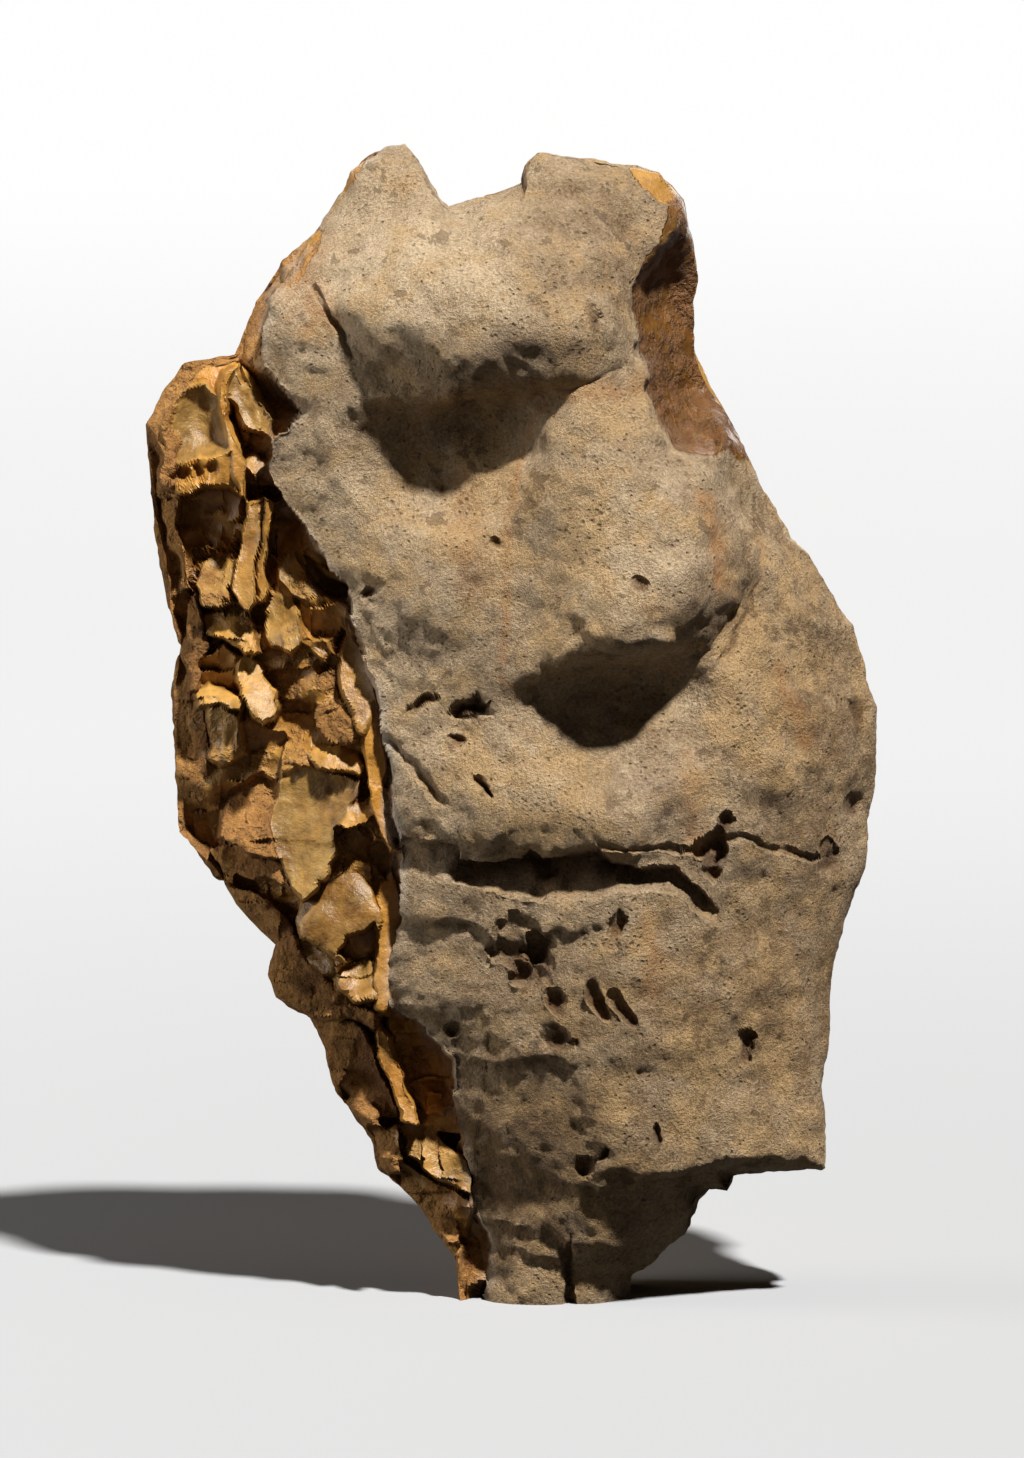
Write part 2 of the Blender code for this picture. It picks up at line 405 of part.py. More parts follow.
     (-34.6, 90.0), (-31.9, 88.3), (-29.2, 84.2), (-27.3, 81.1), (-27.7, 76.8), (-31.4, 72.6),
     (-35.6, 72.6), (-39.7, 74.7), (-43.0, 75.7), (-44.1, 80.1)]),
    ("flake notch", -3.2, 0.3, 0.4, 0.0, [(-34.8, 78.2), (-29.0, 79.7), (-27.5, 77.0), (-28.3, 72.6),
     (-33.1, 72.0), (-35.8, 74.1)]),
    ("low flake, right", 0.6, 0.3, -0.7, 0.4, [(-35.0, 71.4), (-31.4, 72.8), (-28.1, 71.4),
     (-27.5, 66.6), (-27.9, 63.3), (-32.5, 63.3), (-35.0, 66.4), (-36.2, 69.3)]),
    ("low flake, left", 0.2, 0.5, -0.55, 0.3, [(-44.1, 74.7), (-39.7, 74.9), (-35.4, 72.8),
     (-36.0, 69.9), (-39.7, 68.5), (-42.8, 71.6)]),
    ("honey blade", 1.0, -0.2, -0.05, 0.0, [(-26.5, 87.5), (-23.6, 88.6), (-22.1, 84.2), (-23.4, 78.0),
     (-24.0, 71.8), (-25.0, 65.6), (-25.9, 60.6), (-28.1, 61.2), (-27.3, 68.7), (-27.7, 78.0),
     (-27.5, 84.2)]),
    ("rusty band", 0.4, 0.5, 0.25, 0.0, [(-61.9, 89.8), (-56.3, 88.3), (-51.1, 85.2), (-44.9, 78.0),
     (-42.8, 71.8), (-37.7, 66.6), (-33.1, 62.5), (-27.1, 59.4), (-28.3, 56.1), (-34.6, 58.8),
     (-41.8, 59.6), (-49.7, 62.9), (-50.9, 71.8), (-55.0, 79.0), (-59.2, 83.2)]),
    ("low hollow", -3.5, 0.4, 0.1, 3.0, [(-25.4, 61.9), (-21.1, 61.4), (-14.9, 56.5), (-12.4, 50.1),
     (-12.2, 43.7), (-14.7, 39.9), (-18.0, 40.6), (-21.1, 44.9), (-23.2, 51.1), (-24.4, 57.3)]),
    ("hollow floor", -3.6, 0.3, -0.8, 0.0, [(-21.5, 46.1), (-14.9, 47.4), (-12.8, 44.1), (-14.7, 40.1),
     (-18.0, 40.6)]),
    ("orange blade", 0.8, 0.1, -0.2, 0.0, [(-27.9, 59.0), (-24.4, 55.7), (-22.8, 50.1), (-20.9, 43.9),
     (-18.6, 36.4), (-22.8, 38.3), (-26.1, 47.0), (-28.3, 53.2)]),
    ("rusty hollow", -1.6, 0.5, 0.3, 1.0, [(-37.7, 59.0), (-33.1, 57.7), (-28.3, 53.2), (-26.3, 47.0),
     (-23.2, 38.7), (-29.0, 38.3), (-34.6, 43.2), (-37.7, 51.1)]),
    ("pink sliver", 0.8, 0.3, -0.7, 0.0, [(-36.0, 42.6), (-31.4, 44.1), (-27.1, 37.9), (-24.0, 35.8),
     (-29.0, 34.1), (-32.9, 37.9)]),
    ("pink chip", 0.2, 0.5, -0.25, 0.4, [(-29.0, 35.8), (-23.2, 37.2), (-20.9, 30.4), (-21.9, 26.3),
     (-26.5, 27.9), (-29.8, 32.1)]),
    ("pale chip", 0.8, 0.1, -0.4, 0.3, [(-23.2, 37.2), (-16.8, 37.9), (-13.7, 33.5), (-9.3, 29.4),
     (-7.9, 23.8), (-14.9, 26.1), (-20.3, 30.4)]),
    ("amber chip", 0.2, 0.5, 0.25, 0.4, [(-22.3, 30.0), (-14.9, 26.1), (-7.7, 23.4), (-8.1, 19.0),
     (-10.1, 13.7), (-14.9, 14.7), (-18.2, 20.9), (-22.3, 25.0)]),
    ("foot chip", 0.3, 0.4, -0.15, 0.4, [(-10.6, 13.7), (-8.1, 19.2), (-5.6, 13.9), (-3.9, 5.2),
     (-8.7, 3.1), (-12.2, 8.5)]),
]

# A facet's edge blends into what it lies on over this width.
FLAKE_EDGE = 0.7

# The back, as y at five heights: z, y on the left, at the middle and on the right.
BACK_STATIONS = [
    (-4.0, 14.0, 18.0, 18.0),
    (45.0, 24.0, 31.0, 16.0),
    (110.0, 30.0, 42.0, 22.0),
    (165.0, 32.0, 42.0, 22.0),
    (205.0, 26.0, 32.0, 15.0),
    (242.0, 8.0, 9.0, 9.0),
]
BACK_FULLNESS = 2.2

# How far the back rounds over to the outline, and how far it may sink below the outline's back edge.
BACK_ROUND = 9.0
BACK_SINK = 4.0

# The back scars' outlines run on past their tabled size, up to crests this far above the face.
SCAR_SPREAD = 1.2
SCAR_CREST = 2.0

# Chips round the sides: size, depth and tilt. Only what is deeper than the spared depth is cut, and no
# more than a share of the side's thickness.
SIDE_CHIPS = [(26.0, 3.2, 0.45), (10.0, 1.4, 0.45)]
SIDE_SPARED = 1.0
SIDE_SHARE = 0.2

# Old flake scars on the back: x, z, half length, half width, turn, depth, slope along x and z.
BACK_SCARS = [
    (34.0, 196.0, 30.0, 18.0, 60.0, 6.0, 0.05, 0.10),
    (-46.0, 150.0, 34.0, 17.0, 95.0, 5.0, -0.12, 0.0),
    (-24.0, 62.0, 30.0, 20.0, 120.0, 7.0, -0.10, -0.12),
    (38.0, 62.0, 32.0, 22.0, 70.0, 6.0, 0.10, -0.08),
    (4.0, 214.0, 26.0, 14.0, 10.0, 4.0, 0.0, 0.15),
    (50.0, 128.0, 28.0, 14.0, 100.0, 5.0, 0.15, 0.0),
]


def lattice_value(cell_x, cell_y, cell_z, seed):
    """A repeatable number from 0 to 1 for each whole-number cell, by mixing the bits of its place."""
    mixed = (
        cell_x.astype(np.int64) * 374761393
        + cell_y.astype(np.int64) * 668265263
        + cell_z.astype(np.int64) * 1440662683
        + seed * 974634777
    ) & 0xFFFFFFFF
    mixed = ((mixed ^ (mixed >> 13)) * 1274126177) & 0xFFFFFFFF
    return (mixed ^ (mixed >> 16)) / 4294967295.0


def value_noise(points, size, seed):
    """Smooth noise from -1 to 1: lattice values a cell apart, blended by a smooth step on each axis."""
    scaled = points / size
    cell = np.floor(scaled)
    part = scaled - cell
    ease = part * part * part * (part * (part * 6 - 15) + 10)
    total = np.zeros(len(points))
    for step_x in (0, 1):
        weight_x = ease[:, 0] if step_x else 1 - ease[:, 0]
        for step_y in (0, 1):
            weight_y = ease[:, 1] if step_y else 1 - ease[:, 1]
            for step_z in (0, 1):
                weight_z = ease[:, 2] if step_z else 1 - ease[:, 2]
                value = lattice_value(cell[:, 0] + step_x, cell[:, 1] + step_y, cell[:, 2] + step_z, seed)
                total += value * weight_x * weight_y * weight_z
    return total * 2 - 1


def soft_curve(knots_z, values, z, reach):
    """A line through the knots with its corners rounded, by averaging it a little below and above."""
    low = np.interp(z - reach, knots_z, values)
    middle = np.interp(z, knots_z, values)
    high = np.interp(z + reach, knots_z, values)
    return (low + middle * 2 + high) / 4


def turned(x, z, centre_x, centre_z, turn):
    """Offsets from a centre, measured along and across a direction turned from +X."""
    angle = np.radians(turn)
    dx, dz = x - centre_x, z - centre_z
    return dx * np.cos(angle) + dz * np.sin(angle), dz * np.cos(angle) - dx * np.sin(angle)


def swell(x, z, centre_x, centre_z, left, right, down, up, steepness):
    """A mound that is 1 at its centre and 0 at its own reach on each side."""
    dx, dz = x - centre_x, z - centre_z
    reach_x = np.where(dx < 0, left, right)
    reach_z = np.where(dz < 0, down, up)
    return np.clip(1 - (dx / reach_x) ** 2 - (dz / reach_z) ** 2, 0, 1) ** steepness


def ridge(x, z):
    """The ridge's height: a rounded crest between its reaches, with a rounded end above its foot line."""
    rows = np.array(RIDGE).T
    crest_x, height, left, right = (soft_curve(rows[0], row, z, RIDGE_REACH) for row in rows[1:])
    off = (x - crest_x) / np.where(x < crest_x, left, right)
    steepness = np.where(x < crest_x, RIDGE_LEFT_STEEP, RIDGE_RIGHT_STEEP)
    foot_x, *columns = np.array(RIDGE_FOOT).T
    foot_z, roundness, bluntness = (np.interp(x, foot_x, column) for column in columns)
    above = np.clip((z - foot_z) / roundness, 0, 1)
    return height * np.clip(1 - off**2, 0, 1) ** steepness * (1 - (1 - above) ** 2) ** bluntness


def groove(x, z, steep, gentle, line):
    """The depth of a groove along a line of points: a steep wall above it and a gentle one below."""
    deepest = np.zeros(len(x))
    for (x0, z0, depth0), (x1, z1, depth1) in zip(line, line[1:]):
        run_x, run_z = x1 - x0, z1 - z0
        length = np.hypot(run_x, run_z)
        along = np.clip(((x - x0) * run_x + (z - z0) * run_z) / length**2, 0, 1)
        off_x, off_z = x - (x0 + along * run_x), z - (z0 + along * run_z)
        side = (run_x * off_z - run_z * off_x) / length
        width = np.where(side > 0, steep, gentle)
        away = np.clip(np.hypot(off_x, off_z) / width, 0, 1)
        deepest = np.maximum(deepest, (depth0 + along * (depth1 - depth0)) * (1 - away**1.5))
    return deepest


def ledge(x, z, width, line):
    """0 above a line drawn from left to right, climbing to 1 a width below it; it fades past both ends."""
    line = np.array(line)
    below = np.clip((np.interp(x, line[:, 0], line[:, 1]) - z) / width, 0, 1)
    past = np.maximum(line[0, 0] - x, x - line[-1, 0])
    return below * below * (3 - 2 * below) * np.clip(1 - past / (3 * width), 0, 1)


def cleft(x, z, columns):
    """A cleft's depth: a steep wall down from its upper edge, and a floor that climbs to its lower one."""
    column_x, upper, lower, depth = np.array(columns).T
    top = np.interp(x, column_x, upper)
    share = (top - z) / (top - np.interp(x, column_x, lower))
    wall = np.clip(share / CLEFT_WALL, 0, 1)
    floor = (1 - np.clip(share, 0, 1)) ** CLEFT_CLIMB
    return np.interp(x, column_x, depth, 0, 0) * wall * wall * (3 - 2 * wall) * floor


def inside_distance(x, z, corners):
    """How far inside a polygon each place lies; negative outside it."""
    nearest = np.full(len(x), np.inf)
    inside = np.zeros(len(x), dtype=bool)
    for (x0, z0), (x1, z1) in zip(corners, corners[1:] + corners[:1]):
        run_x, run_z = x1 - x0, z1 - z0
        along = np.clip(((x - x0) * run_x + (z - z0) * run_z) / (run_x**2 + run_z**2), 0, 1)
        nearest = np.minimum(nearest, np.hypot(x - x0 - along * run_x, z - z0 - along * run_z))
        if z0 != z1:
            inside ^= ((z0 > z) != (z1 > z)) & (x < x0 + (z - z0) * run_x / run_z)
    return np.where(inside, nearest, -nearest)


def chips(x, z, size, depth, tilt, seed):
    """Chipped stone: one shallow bowl per lattice cell, each tipped its own way, the lowest one showing."""
    cell_x, cell_z = np.floor(x / size), np.floor(z / size)
    layer = np.zeros(len(x))
    floor = np.full(len(x), depth * 1.8)
    for step_x in (-1, 0, 1):
        for step_z in (-1, 0, 1):
            own_x, own_z = cell_x + step_x, cell_z + step_z
            draw = [lattice_value(own_x, layer, own_z, seed + i) for i in range(5)]
            dx, dz = x - (own_x + draw[0]) * size, z - (own_z + draw[1]) * size
            bowl = depth * ((dx**2 + dz**2) / (size * 0.9) ** 2 + 0.4 - draw[2])
            bowl += tilt * (dx * (draw[3] * 2 - 1) + dz * (draw[4] * 2 - 1))
            floor = np.minimum(floor, bowl)
    return floor


def scar_floor(x, z, scars):
    """How far the flake scars cut in: each is a shallow bowl, and crests stand where two bowls meet."""
    floor = np.full(len(x), SCAR_CREST)
    for centre_x, centre_z, half_long, half_wide, turn, depth, slope_x, slope_z in scars:
        along, across = turned(x, z, centre_x, centre_z, turn)
        bowl = depth * (((along / half_long) ** 2 + (across / half_wide) ** 2) / SCAR_SPREAD**2 - 1)
        bowl += slope_x * (x - centre_x) + slope_z * (z - centre_z)
        floor = np.minimum(floor, bowl)
    return floor


def outline_columns():
    """The outline's table by columns: x, z, front corner's y, thickness, rounding."""
    return np.array(OUTLINE).T


def border_x(z):
    """Where the rind ends at each height."""
    line = np.array(BORDER)
    return np.interp(z, line[:, 1], line[:, 0])


def soft_border_x(z):
    """The same border with its wiggles smoothed away."""
    line = np.array(BORDER)
    return soft_curve(line[:, 1], line[:, 0], z, BORDER_REACH)


def left_edge_x(z):
    """The outline's left side at each height."""
    edge = np.array(OUTLINE[: OUTLINE_TOP_LEFT])
    return np.interp(z, edge[:, 1], edge[:, 0])


def right_edge_x(z):
    """The outline's right side at each height."""
    edge = np.array(OUTLINE[OUTLINE_TOP_RIGHT:])[::-1]
    return np.interp(z, edge[:, 1], edge[:, 0])


def rind_out(x, z):
    """The rind: a broad vault between its two edges, with landforms, bites, grooves and pits on it."""
    stations = np.array(STATIONS).T
    curves = (soft_curve(stations[0], row, z, STATION_REACH) for row in stations[1:])
    crest_x, crest, at_border, at_right = curves
    left = np.clip((crest_x - x) / np.maximum(crest_x - soft_border_x(z), NARROW), 0, 1.05)
    right = np.clip((x - crest_x) / np.maximum(right_edge_x(z) - crest_x, NARROW), 0, 1.3)
    out = crest - (crest - at_border) * left**LEFT_FALL - (crest - at_right) * right**RIGHT_FALL
    for _, cx, cz, reach_left, reach_right, down, up, height, steepness in SWELLS:
        out += height * swell(x, z, cx, cz, reach_left, reach_right, down, up, steepness)
    out += ridge(x, z)
    for cx, cz, half_wide, half_high, turn, floor, rise in BITES:
        across, up = turned(x, z, cx, cz, turn)
        out = np.minimum(out, floor + rise * ((across / half_wide) ** 2 + (up / half_high) ** 2) ** 2)
    for drop, width, line in LEDGES:
        out -= drop * ledge(x, z, width, line)
    for columns in CLEFTS:
        out -= cleft(x, z, columns)
    for steep, gentle, line in GROOVES:
        out -= groove(x, z, steep, gentle, line)
    ragged = value_noise(np.stack([x, 0 * x, z], axis=1), PIT_RAGGED_SIZE, SEED + 50)
    for cx, cz, half_wide, half_high, turn, depth in PITS:
        across, up = turned(x, z, cx, cz, turn)
        away = np.sqrt((across / half_wide) ** 2 + (up / half_high) ** 2) + PIT_RAGGED * ragged
        out -= depth * np.clip(1.15 - away**2, 0, 1) ** np.where(up > 0, PIT_UPPER_WALL, PIT_LOWER_WALL)
    return out


def warped(x, z):
    """The place a little way off, by smooth noise, from which a ragged feature is read."""
    place = np.stack([x, np.zeros(len(x)), z], axis=1)
    for i, (size, reach) in enumerate(WARPS):
        x = x + reach * value_noise(place, size, SEED + 20 + i)
        z = z + reach * value_noise(place, size, SEED + 30 + i)
    return x, z


def flint_face(x, z, rind):
    """The broken face before its flakes: it drops by the rim's step, then falls ever more to the edge."""
    beyond = border_x(z) - x
    span = np.maximum(border_x(z) - left_edge_x(z), 1.0)
    step = np.clip(beyond / RIM_STEP_WIDTH, 0, 1)
    step = step * step * (3 - 2 * step) * np.clip(span / 12.0, 0, 1)
    columns = outline_columns()
    edge = FLANK_LIFT - np.interp(z, columns[1][:OUTLINE_TOP_LEFT], columns[2][:OUTLINE_TOP_LEFT])
    fall = edge - rind + RIM_STEP
    return rind - RIM_STEP * step + fall * np.clip(beyond / span, 0, 1) ** FLANK_CURVE


def flaked(x, z, out, small_chips):
    """The flint face with its flakes laid over it in turn: each a tipped plane with a dish in it."""
    for name, offset, slope_x, slope_z, dish, corners in FLAKES:
        middle = np.mean(corners, axis=0)[:, None]
        level = flint_face(*middle, rind_out(*middle)) + offset
        inside = inside_distance(x, z, corners)
        reach = inside.max() + 0.1
        deeper = 1 - (1 - np.clip(inside / reach, 0, 1)) ** 2
        facet = level + slope_x * (x - middle[0]) + slope_z * (z - middle[1]) - dish * deeper
        facet += small_chips * (GLASSY_CHIPS if name in GLASSY else DULL_CHIPS)
        share = np.clip(inside / FLAKE_EDGE + 0.5, 0, 1)
        out = out + (facet - out) * share
    return out


def front_out(x, z):
    """The whole front: the rind, and left of its border the flaked flint that slants back to the edge."""
    x, z = warped(x, z)
    rind = rind_out(x, z)
    flint = flint_face(x, z, rind)
    large, *small = [chips(x, z, *row, SEED + 40 + 10 * step) for step, row in enumerate(CHIPS)]
    flint = flaked(x, z, flint + large + sum(small), sum(small))
    return np.where(border_x(z) > x, flint, rind)


def back_y(x, z):
    """The back: a low vault from left to right at each height, cut by a few wide old scars."""
    stations = np.array(BACK_STATIONS).T
    at_left, at_middle, at_right = (soft_curve(stations[0], row, z, BACK_REACH) for row in stations[1:])
    left_x, right_x = left_edge_x(z), right_edge_x(z)
    share = np.clip((x - left_x) / np.maximum(right_x - left_x, 2 * NARROW), 0, 1)
    y = at_left * (1 - share) ** 2 + BACK_FULLNESS * at_middle * share * (1 - share) + at_right * share**2
    x, z = warped(x, z)
    return y + np.minimum(scar_floor(x, z, BACK_SCARS), 0)


def ring_share(inward):
    """How far a ring lies from the centre, 0 to 1, with rings packed closely where the edge rounds."""
    packed = np.where(inward < RIM_SHARE, inward**2 / RIM_SHARE, 2 * inward - RIM_SHARE)
    return 1 - packed / (2 - RIM_SHARE)


def walk_outline(count):
    """The outline counter-clockwise from its lower left, as count evenly spaced rows of its columns."""
    rows = np.array(OUTLINE)[::-1]
    closed = np.vstack([rows, rows[:1]])
    steps = np.hypot(*np.diff(closed[:, :2], axis=0).T)
    length = np.concatenate([[0], np.cumsum(steps)])
    places = (np.arange(count) / count * length[-1] + length[-1] - OUTLINE_START) % length[-1]
    return np.stack([np.interp(places, length, closed[:, i]) for i in range(closed.shape[1])])


def sheet_grid():
    """The square grid folded onto the outline: each node's ring share and its place on the outline."""
    half = GRID // 2
    a, b = np.meshgrid(np.arange(-half, half + 1), np.arange(-half, half + 1), indexing="ij")
    ring = np.maximum(abs(a), abs(b))
    safe = np.maximum(ring, 1)
    u, v = a / safe, b / safe
    bottom, right, top = (v == -1) & (u < 1), (u == 1) & (v < 1), (v == 1) & (u > -1)
    place = np.select([bottom, right, top], [(u + 1) / 8, (v + 1) / 8 + 0.25, (1 - u) / 8 + 0.5],
                      (1 - v) / 8 + 0.75)
    return ring_share(1 - ring / half).reshape(-1), place.reshape(-1) % 1.0


def walk_rim(place):
    """The outline's columns at each share of the way round it."""
    count = 16 * GRID
    rim = walk_outline(count)
    low = np.floor(place * count).astype(int) % count
    part = place * count - np.floor(place * count)
    return rim[:, low] * (1 - part) + rim[:, (low + 1) % count] * part


def grid_index():
    """The numbers of the grid's nodes, row by row."""
    return np.arange((GRID + 1) ** 2).reshape(GRID + 1, GRID + 1)


def rim_ring():
    """The grid's outermost nodes, once round counter-clockwise."""
    index = grid_index()
    return np.concatenate([index[:-1, 0], index[-1, :-1], index[:0:-1, -1], index[0, :0:-1]])


def cut_side(points, thick, t):
    """A ring of the side band moved in by its chips: not at all at its two rims, most halfway."""
    ahead, behind = np.roll(points, -1, axis=0), np.roll(points, 1, axis=0)
    run_x, run_z = ahead[:, 0] - behind[:, 0], ahead[:, 2] - behind[:, 2]
    length = np.maximum(np.hypot(run_x, run_z), 1e-6)
    along = np.cumsum(length) / 2
    depth = sum(row[1] - chips(along, points[:, 1], *row, SEED + 90 + i) for i, row in enumerate(SIDE_CHIPS))
    depth = np.clip(depth - SIDE_SPARED, 0, SIDE_SHARE * thick) * np.sin(np.pi * t)
    return points + np.stack([-run_z, 0 * depth, run_x], axis=1) * (depth / length)[:, None]


def stone_surface():
    """All the points of the stone and its faces: the front sheet, the back sheet and the band between."""
    share, place = sheet_grid()
    rim_x, rim_z, rim_y, rim_thick, rim_round = walk_rim(place)
    x = CENTRE[0] + share * (rim_x - CENTRE[0])
    z = CENTRE[1] + share * (rim_z - CENTRE[1])
    inward = (1 - share) * np.hypot(rim_x - CENTRE[0], rim_z - CENTRE[1])

    curve = np.sqrt(1 - (1 - np.clip(inward / rim_round, 0, 1)) ** 2)
    front = np.stack([x, rim_y + (-front_out(x, z) - rim_y) * curve, z], axis=1)
    for cx, cz, side, down, up, sag in SAGS:
        front[:, 2] -= sag * swell(x, z, cx, cz, side, side, down, up, 1.5)
    curve = np.sqrt(1 - (1 - np.clip(inward / BACK_ROUND, 0, 1)) ** 2)
    back_edge = rim_y + rim_thick
    behind = np.maximum(back_y(x, z), back_edge - BACK_SINK)
    back = np.stack([x, back_edge + (behind - back_edge) * curve, z], axis=1)

    tip = np.radians(VIEW_TIP)
    for sheet in (front, back):
        nearness = 1 + sheet[:, 1] / VIEW_DISTANCE
        sheet[:, 0] *= nearness
        sheet[:, 2] = VIEW_HEIGHT + (sheet[:, 2] - VIEW_HEIGHT) * nearness
        sheet[:, 2] = (sheet[:, 2] - (sheet[:, 1] + FOOT_FRONT) * np.sin(tip)) / np.cos(tip)

    index, ring, size = grid_index(), rim_ring(), len(front)
    quads = np.stack([index[:-1, :-1], index[1:, :-1], index[1:, 1:], index[:-1, 1:]], axis=-1)
    quads = quads.reshape(-1, 4)
    rows = [ring]
    band = []
    for row in range(1, BAND_ROWS):
        t = row / BAND_ROWS
        band.append(cut_side(front[ring] * (1 - t) + back[ring] * t, rim_thick[ring], t))
        rows.append(2 * size + (row - 1) * len(ring) + np.arange(len(ring)))
    rows.append(ring + size)
    faces = [quads, quads[:, ::-1] + size]
    for near, far in zip(rows, rows[1:]):
        faces.append(np.stack([near, far, np.roll(far, -1), np.roll(near, -1)], axis=1))
    return np.vstack([front, back] + band), np.vstack(faces)


def corner_normals(points, faces):
    """The outward direction at each point, from the sum of its faces' normals."""
    corners = points[faces]
    normal = np.cross(corners[:, 2] - corners[:, 0], corners[:, 3] - corners[:, 1])
    total = np.zeros_like(points)
    for corner in range(4):
        for axis in range(3):
            total[:, axis] += np.bincount(faces[:, corner], normal[:, axis], len(points))
    return total / np.maximum(np.linalg.norm(total, axis=1, keepdims=True), 1e-9)


def roughened(points, faces):
    """The surface pushed in and out along its normals by lumps of several sizes."""
    lumps = sum(high * value_noise(points, size, SEED + i) for i, (size, high) in enumerate(LUMPS))
    return points + corner_normals(points, faces) * lumps[:, None]


def stone_mesh():
    """The surface as a mesh in metres, thinned to its facets and cut flat at the foot."""
    points, faces = stone_surface()
    points = roughened(points, faces)
    draft = bpy.data.meshes.new("draft")
    draft.from_pydata((points - (*MIDDLE, 0)) * MM, [], faces.tolist())
    draft.validate()
    stone = bpy.data.objects.new("draft", draft)
    bpy.context.collection.objects.link(stone)
    triangles = len(faces) * 2
    thin = stone.modifiers.new("thin", "DECIMATE")
    thin.ratio = FACETS / triangles
    thinned = bmesh.new()
    thinned.from_object(stone, bpy.context.evaluated_depsgraph_get())
    bpy.data.objects.remove(stone)
    bpy.data.meshes.remove(draft)

    cut = bmesh.ops.bisect_plane(
        thinned,
        geom=thinned.verts[:] + thinned.edges[:] + thinned.faces[:],
        plane_co=(0, 0, 0),
        plane_no=(0, 0, 1),
        clear_inner=True,
    )
    rim = [item for item in cut["geom_cut"] if isinstance(item, bmesh.types.BMEdge)]
    bmesh.ops.edgenet_fill(thinned, edges=rim)
    bmesh.ops.triangulate(thinned, faces=thinned.faces[:])
    bmesh.ops.recalc_face_normals(thinned, faces=thinned.faces[:])
    mesh = bpy.data.meshes.new(NAME)
    thinned.to_mesh(mesh)
    thinned.free()
    return mesh


def stone_material():
    """One dry, rough skin for the whole stone."""
    material = bpy.data.materials.new("weathered_flint")
    material.use_nodes = True
    shader = material.node_tree.nodes["Principled BSDF"]
    shader.inputs["Base Color"].default_value = (0.42, 0.35, 0.26, 1.0)
    shader.inputs["Roughness"].default_value = 0.85
    shader.inputs["Metallic"].default_value = 0.0
    return material


def main():
    """Clears the scene and adds the stone, its middle over the origin and its foot on the ground."""
    for old in list(bpy.data.objects):
        bpy.data.objects.remove(old)
    stone = bpy.data.objects.new(NAME, stone_mesh())
    stone.data.materials.append(stone_material())
    bpy.context.collection.objects.link(stone)


main()
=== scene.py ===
"""A flint nodule standing on end, dressed: pale rind, honey-coloured broken flint, and a pale studio.

The stone is one closed surface worked out with numpy from the same tables as the solid it stands on,
only finer. Lengths in the tables are millimetres: x to the right, z up, and "out" is how far the front
stands towards the viewer, that is, towards -Y.
"""

import math

import bmesh
import bpy
import numpy as np
from bpy.props import FloatProperty, FloatVectorProperty, IntProperty, PointerProperty
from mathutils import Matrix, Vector


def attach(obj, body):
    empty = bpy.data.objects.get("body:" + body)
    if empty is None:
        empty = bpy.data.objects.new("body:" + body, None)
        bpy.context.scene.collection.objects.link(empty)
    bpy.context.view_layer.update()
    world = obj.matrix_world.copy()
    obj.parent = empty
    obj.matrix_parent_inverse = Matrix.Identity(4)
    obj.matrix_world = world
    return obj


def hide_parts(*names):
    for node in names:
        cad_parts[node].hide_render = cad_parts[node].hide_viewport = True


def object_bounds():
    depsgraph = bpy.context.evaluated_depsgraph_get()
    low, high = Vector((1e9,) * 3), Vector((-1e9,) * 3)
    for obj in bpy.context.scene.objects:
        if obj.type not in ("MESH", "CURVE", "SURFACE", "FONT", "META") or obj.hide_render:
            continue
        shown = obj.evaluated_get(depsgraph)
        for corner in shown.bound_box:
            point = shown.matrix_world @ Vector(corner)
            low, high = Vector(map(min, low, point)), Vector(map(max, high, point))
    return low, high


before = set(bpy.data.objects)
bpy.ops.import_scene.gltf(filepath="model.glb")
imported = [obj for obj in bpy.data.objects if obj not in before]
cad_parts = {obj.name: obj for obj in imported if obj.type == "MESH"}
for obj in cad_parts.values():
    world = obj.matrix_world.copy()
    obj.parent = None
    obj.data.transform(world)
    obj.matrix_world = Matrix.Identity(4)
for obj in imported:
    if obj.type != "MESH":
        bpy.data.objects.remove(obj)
SOLID = "flint_nodule"
SOLID_BOX = [list(corner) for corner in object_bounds()]
STONE = "flint_stone"
BODY = "root"

bl_info = {
    "name": "Flint Nodule",
    "version": (1, 0, 0),
    "blender": (4, 5, 0),
    "location": "3D View > Sidebar > Nodule",
    "description": "Builds a weathered flint nodule with broken flint down one side, and its studio",
    "category": "Add Mesh",
}

MM = 0.001
SEED = 11

# How closely the surface is sampled.
GRID = 400
BAND_ROWS = 16
RIM_SHARE = 0.1

# Edges that bend more than this stay crisp.
SHARP_ANGLE = math.radians(38)

# The picture the camera takes, and the lens's film.
IMAGE_HIGH = 1458
MM_PER_PIXEL = 0.2069
SENSOR = 36.0

# The floor's radius, and the ways to the lights, in metres.
FLOOR_RADIUS = 11.0
KEY_AWAY = (0.25, -0.48, 0.82)
SIDE_AWAY = (-1.15, 0.0, 0.30)
SIDE_SIZE = 0.5
TOP_AWAY = (0.10, -0.10, 1.30)
TOP_SIZE = 0.7
BACK_AWAY = (0.20, 1.25, 0.50)
BACK_SIZE = 0.9

# How far noise shakes the pores out of round, in metres, and the dark colour laid into them.
PORE_SHAKE = 0.0010
PORE_COLOUR = (0.10, 0.06, 0.03, 1)

# The middle that the front and back sheets are folded round, and where the walk of the outline starts.
CENTRE = (0.0, 115.0)
OUTLINE_START = 40.0

# The tables give x and z as they look from a viewer who looks down by this many degrees, so what
# stands nearer to the viewer is really higher. The foot's front corner sets z = 0.
VIEW_TIP = 6.0
FOOT_FRONT = 17.0

# They are also read in perspective, from this far away and at this height, so what stands nearer is
# really a little smaller.
VIEW_DISTANCE = 2000.0
VIEW_HEIGHT = 119.6

